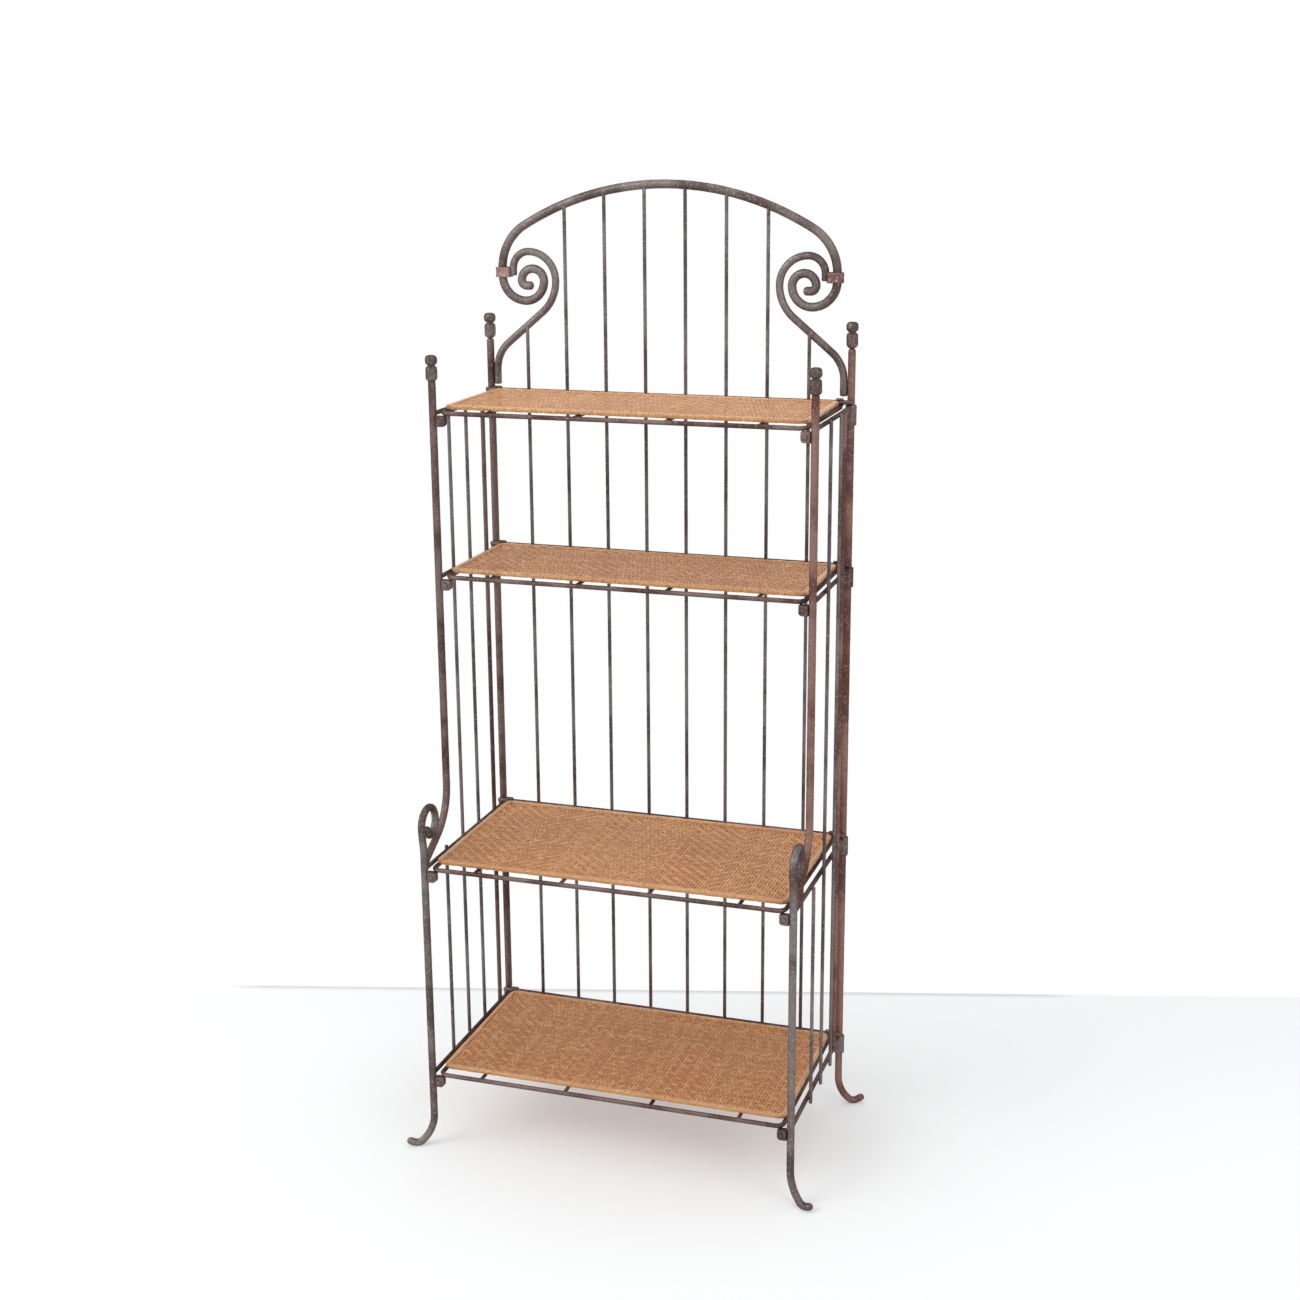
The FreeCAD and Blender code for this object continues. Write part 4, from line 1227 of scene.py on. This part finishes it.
# %% [markdown]
# ## Rattan grain
# Rattan has fine dark lines along its length, and the two families of splints run at right
# angles. Two materials could do, one for each direction, but one is enough: a noise is
# stretched along either axis, and the splint's family chooses between the two.

# %% Rattan grain
GRAIN_STRETCHES = ((1400.0, 25.0, 300.0), (25.0, 1400.0, 300.0))
GRAIN_DETAIL = 3.0
BLOTCH_SCALE = 9.0
BLOTCH_SHARE = 0.9

grain_group, grain_in, grain_out = new_group(
    "rattan_grain",
    [("Point", POINT, None), ("Family", NUMBER, 0.0), ("Tone", NUMBER, 0.5)],
    [("Grain", NUMBER), ("Tone", NUMBER)],
)
grain_point = grain_in.outputs["Point"]
grain_lines = []
for stretch in GRAIN_STRETCHES:
    stretched = add_node(
        grain_group, "ShaderNodeVectorMath", {0: grain_point, 1: stretch}, operation="MULTIPLY"
    )
    grain_lines.append(cloud(grain_group, stretched.outputs[0], 1.0, GRAIN_DETAIL))
chosen = add_node(
    grain_group, "ShaderNodeMix",
    {0: grain_in.outputs["Family"], 2: grain_lines[0], 3: grain_lines[1]}, data_type="FLOAT",
)
blotch = cloud(grain_group, grain_point, BLOTCH_SCALE, GRAIN_DETAIL)
splint_tone = arithmetic(
    grain_group, "MULTIPLY_ADD", blotch, BLOTCH_SHARE, grain_in.outputs["Tone"]
)
feed(grain_group, grain_out, {"Grain": chosen.outputs[0], "Tone": splint_tone})
print("groups:", [group.name for group in bpy.data.node_groups])

# %% [markdown]
# ## Iron finishes
# The iron is painted in a dark metallic brown. The arch, the scroll stems, the legs and the
# finials take a paler, greyer copy of it, which is painted light for the stronger light on
# them, and the thin bars are painted greyer still. The posts on the right take a ruddier
# copy, which is painted warm light reflected from the shelves. The collars are rubbed to a
# pinkish brown, and the sleeves a little paler than the rest. All of it could be one paint
# with a large noise, but then the tones would fall where the noise does. Six sets of tones
# in one recipe put each where it belongs. Round metal looks darker at its rims, which comes
# from the shader's own edge tint for metals.

# %% Painted iron
PAINT_METALLIC = 0.65
PAINT_SPECULAR = 0.1
PAINT_EDGE = (0.08, 0.06, 0.05, 1)
HAMMER_STRENGTH = 0.5
HAMMER_DEPTH = 0.0004


def new_material(name):
    """A material with an empty Principled shader."""
    material = bpy.data.materials.new(name)
    material.use_nodes = True
    tree = material.node_tree
    tree.nodes.clear()
    shader = tree.nodes.new("ShaderNodeBsdfPrincipled")
    add_node(tree, "ShaderNodeOutputMaterial", {0: shader.outputs[0]})
    return material, tree, shader


def iron(name, deep, middle, light, light_amount, roughness):
    """Painted iron in three tones. roughness goes from the hollows to the high places."""
    material, tree, shader = new_material(name)
    place = object_point(tree)
    tones = add_node(tree, "ShaderNodeGroup", {
        "Point": place, "Deep": (*deep, 1), "Middle": (*middle, 1), "Light": (*light, 1),
        "Light Amount": light_amount,
    }, node_tree=tone_group)
    hammer = add_node(tree, "ShaderNodeGroup", {
        "Point": place, "Mark Size": MARK_SIZE,
    }, node_tree=hammer_group)
    relief = add_node(tree, "ShaderNodeBump", {
        "Height": hammer.outputs["Height"], "Strength": HAMMER_STRENGTH,
        "Distance": HAMMER_DEPTH,
    }, invert=True)
    feed(tree, shader, {
        "Base Color": tones.outputs["Colour"],
        "Roughness": spread(tree, hammer.outputs["Hollow"], *roughness),
        "Normal": relief.outputs[0],
        "Metallic": PAINT_METALLIC,
        "Specular IOR Level": PAINT_SPECULAR,
        "Specular Tint": PAINT_EDGE,
    })
    return material


print("paint is metallic at", PAINT_METALLIC)

# %% The six paints
IRON_FINISHES = {
    "hammered_iron_paint": (
        (0.085, 0.048, 0.042), (0.177, 0.125, 0.114), (0.386, 0.307, 0.291),
        0.35, (0.38, 0.56),
    ),
    # a paler, greyer copy of the iron paint: painted light for the stronger light on these bars
    "weathered_arch_paint": (
        (0.103, 0.074, 0.067), (0.204, 0.176, 0.165), (0.47, 0.43, 0.405),
        0.40, (0.36, 0.56),
    ),
    "thin_bar_paint": (
        (0.100, 0.078, 0.074), (0.198, 0.175, 0.174), (0.44, 0.415, 0.41),
        0.40, (0.40, 0.56),
    ),
    # a ruddier copy of the iron paint: painted warm light reflected from the shelves
    "ruddy_bar_paint": (
        (0.124, 0.058, 0.047), (0.255, 0.148, 0.124), (0.52, 0.35, 0.31),
        0.36, (0.38, 0.56),
    ),
    "rubbed_collar_paint": (
        (0.185, 0.102, 0.088), (0.39, 0.24, 0.215), (0.60, 0.44, 0.405),
        0.70, (0.40, 0.60),
    ),
    "rubbed_sleeve_paint": (
        (0.108, 0.068, 0.059), (0.20, 0.153, 0.14), (0.43, 0.375, 0.35),
        0.50, (0.36, 0.54),
    ),
}
finishes = {name: iron(name, *values) for name, values in IRON_FINISHES.items()}
print("iron finishes:", len(finishes))

# %% [markdown]
# ## Rattan finishes
# The rattan is varnished, each splint in its own shade of honey, and the binding is a
# little paler. Sheen could give the pale look that a shelf has near eye level, but sheen is
# for cloth. A coat of varnish is what the real shelf has, and it pales by itself where it is
# seen at a low angle.

# %% Rattan
VARNISH_WEIGHT = 0.55
VARNISH_ROUGHNESS = 0.15
RATTAN_SPECULAR = 0.45
RATTAN_ROUGHNESS = (0.40, 0.62)
TONE_RANGE = (0.62, 1.18)
LINE_RANGE = (0.36, 0.62)
GRAIN_STRENGTH = 0.35
GRAIN_DEPTH = 0.0003


def rattan(name, dark, middle, light, woven):
    """Varnished rattan. When woven, it takes each splint's own tone and direction."""
    material, tree, shader = new_material(name)
    sources = {"Point": object_point(tree)}
    if woven:
        for key, attribute in (("Tone", "splint_tone"), ("Family", "splint_family")):
            reader = add_node(tree, "ShaderNodeAttribute", attribute_name=attribute)
            sources[key] = reader.outputs["Fac"]
    grain = add_node(tree, "ShaderNodeGroup", sources, node_tree=grain_group)
    toned = mix_colours(
        tree, ramp(tree, grain.outputs["Tone"], *TONE_RANGE), (*middle, 1), (*light, 1)
    )
    lined = mix_colours(
        tree, ramp(tree, grain.outputs["Grain"], *LINE_RANGE), (*dark, 1), toned
    )
    relief = add_node(tree, "ShaderNodeBump", {
        "Height": grain.outputs["Grain"], "Strength": GRAIN_STRENGTH, "Distance": GRAIN_DEPTH,
    })
    feed(tree, shader, {
        "Base Color": lined,
        "Roughness": spread(tree, grain.outputs["Grain"], *RATTAN_ROUGHNESS),
        "Normal": relief.outputs[0],
        "Specular IOR Level": RATTAN_SPECULAR,
        "Coat Weight": VARNISH_WEIGHT,
        "Coat Roughness": VARNISH_ROUGHNESS,
    })
    return material


finishes["varnished_rattan"] = rattan(
    "varnished_rattan", (0.37, 0.118, 0.024), (0.59, 0.236, 0.060), (0.78, 0.41, 0.145), True
)
finishes["rattan_binding"] = rattan(
    "rattan_binding", (0.38, 0.145, 0.040), (0.58, 0.268, 0.092), (0.78, 0.45, 0.19), False
)
print("finishes:", list(finishes))

# %% [markdown]
# ## Where each finish goes
# The record names a slot for every piece, and most pieces take the finish of their slot.
# Some bars of the iron slot take other tones: the thin bars are greyer, and two copies of the
# paint are painted light for the light on those bars. They could get slots of their own, but
# a slot says what a piece is made of, so their finish is looked up by name instead.

# %% Finish of each piece
FINISH_OF_SLOT = {
    "iron": "hammered_iron_paint",
    "collar": "rubbed_collar_paint",
    "sleeve": "rubbed_sleeve_paint",
    "wicker": "varnished_rattan",
    "binding": "rattan_binding",
}
FINISH_OF_PLACE = (
    ("thin_bar_paint", ("spindles",)),
    # the arch, stems, legs and finials take the copy that is painted lighter for the light on
    # them
    ("weathered_arch_paint", ("arch_bar", "scroll_stems", "front_leg", "finial")),
    # the right-hand posts and stile take the copy with painted warm reflected light
    ("ruddy_bar_paint", ("rear_post_right", "side_stile_right", "front_post_right")),
)

for node, piece in made_pieces.items():
    finish = FINISH_OF_SLOT[slot_of_node[node]]
    for name, places in FINISH_OF_PLACE:
        if any(place in node for place in places):
            finish = name
    piece.data.materials.append(finishes[finish])
    for cad_slot in frame["nodes"][node].material_slots:
        cad_slot.material = finishes[finish]
print("pieces with a finish:", len(made_pieces))

# %% [markdown]
# ## Floor
# The rack stands on a plain pale floor. Behind it the floor meets a white wall, and only a
# thin shaded line shows where. A real wall would stand in the way of the light and of a
# view from behind, so the wall is the white world itself, and the line is painted shadow,
# drawn in the floor's material along its far edge.

# %% Floor
FLOOR_LEFT = Vector((-1.02, 0.295, 0))
FLOOR_RIGHT = Vector((0.695, 0.781, 0))
FLOOR_REACH = 9.0

wall_direction = (FLOOR_RIGHT - FLOOR_LEFT).normalized()
floor_mesh = bpy.data.meshes.new("floor")
floor_mesh.from_pydata(
    [(-FLOOR_REACH, -FLOOR_REACH, 0), (FLOOR_REACH, -FLOOR_REACH, 0), (FLOOR_REACH, 0, 0),
     (-FLOOR_REACH, 0, 0)], [], [(0, 1, 2, 3)]
)
floor = bpy.data.objects.new("floor", floor_mesh)
bpy.context.scene.collection.objects.link(floor)
floor.location = (FLOOR_LEFT + FLOOR_RIGHT) / 2
floor.rotation_euler.z = math.atan2(wall_direction.y, wall_direction.x)
print("floor ends at", [round(c, 3) for c in floor.location])

# %% Floor paint
FLOOR_COLOUR = (0.955, 0.975, 0.985, 1)
BLACK = (0, 0, 0, 1)
FLOOR_ROUGHNESS = 0.9
FLOOR_SPECULAR = 0.1
FLOOR_GLOW = 0.29
# painted shadow where the floor meets the wall: its depth, sharp edge, fading ends and strength
WALL_SHADOW_DEPTH = 0.022
WALL_SHADOW_EDGE = 0.002
WALL_SHADOW_ENDS = (0.90, 0.80)
WALL_SHADOW_STRENGTH = 0.24

floor_paint, floor_tree, floor_shader = new_material("pale_floor")
floor_point = add_node(floor_tree, "ShaderNodeSeparateXYZ", {0: object_point(floor_tree)})
# painted shadow: a thin dark band along the floor's far edge, fading out towards both ends
near_wall_shadow = ramp(floor_tree, floor_point.outputs["Y"], -WALL_SHADOW_DEPTH, -WALL_SHADOW_EDGE)
along = arithmetic(floor_tree, "ABSOLUTE", floor_point.outputs["X"])
shadow_line = arithmetic(floor_tree, "MULTIPLY", near_wall_shadow, ramp(floor_tree, along, *WALL_SHADOW_ENDS))
shade = arithmetic(floor_tree, "MULTIPLY", shadow_line, WALL_SHADOW_STRENGTH)
floor_tone = mix_colours(floor_tree, shade, FLOOR_COLOUR, BLACK)
feed(floor_tree, floor_shader, {
    "Base Color": floor_tone, "Roughness": FLOOR_ROUGHNESS, "Specular IOR Level": FLOOR_SPECULAR,
})
glow = add_node(floor_tree, "ShaderNodeEmission", {"Color": floor_tone, "Strength": 1.0})
floor_mix = add_node(floor_tree, "ShaderNodeMixShader", {
    0: FLOOR_GLOW, 1: floor_shader.outputs[0], 2: glow.outputs[0],
})
feed(floor_tree, floor_tree.nodes["Material Output"], {0: floor_mix.outputs[0]})
floor_mesh.materials.append(floor_paint)
print(floor_paint.name, "has", len(floor_tree.nodes), "nodes")

# %% [markdown]
# ## Light
# The rack stands in soft, even light: most of it comes from all around, with a large lamp
# from the left and two weak ones. A brighter world would whiten the backdrop, but it would
# wash out the iron as well. Light Path keeps the two apart: the camera and the reflections
# see plain white, while the rack is lit more softly.

# %% World
WHITE = (1, 1, 1, 1)
WORLD_STRENGTH = 0.70

world = bpy.data.worlds.new("studio")
bpy.context.scene.world = world
world.use_nodes = True
world_tree = world.node_tree
world_tree.nodes.clear()
light_path = add_node(world_tree, "ShaderNodeLightPath")
seen = light_path.outputs["Is Camera Ray"]
for ray in ("Is Glossy Ray", "Is Transmission Ray"):
    seen = arithmetic(world_tree, "MAXIMUM", seen, light_path.outputs[ray])
soft = add_node(world_tree, "ShaderNodeBackground", {"Color": WHITE, "Strength": WORLD_STRENGTH})
white = add_node(world_tree, "ShaderNodeBackground", {"Color": WHITE, "Strength": 1.0})
backdrop = add_node(world_tree, "ShaderNodeMixShader", {
    0: seen, 1: soft.outputs[0], 2: white.outputs[0],
})
add_node(world_tree, "ShaderNodeOutputWorld", {0: backdrop.outputs[0]})
print(world.name, "lights the rack at", WORLD_STRENGTH)

# %% Lamps
LAMP_AIM = Vector((0, 0, 0.8))
LAMPS = (
    ("lamp_left", Vector((-4.2, -4.0, 4.6)), 4.0, 190),
    ("lamp_right", Vector((3.4, -2.6, 3.0)), 2.0, 32),
    ("lamp_top", Vector((0.0, 0.2, 5.6)), 2.6, 40),
)

for name, place, size, power in LAMPS:
    data = bpy.data.lights.new(name, "AREA")
    data.size = size
    data.energy = power
    lamp = bpy.data.objects.new(name, data)
    bpy.context.scene.collection.objects.link(lamp)
    lamp.location = place
    lamp.rotation_euler = (LAMP_AIM - place).to_track_quat("-Z", "Y").to_euler()
bpy.context.scene.view_settings.view_transform = "Standard"
print("lamps:", [light.name for light in bpy.data.lights])
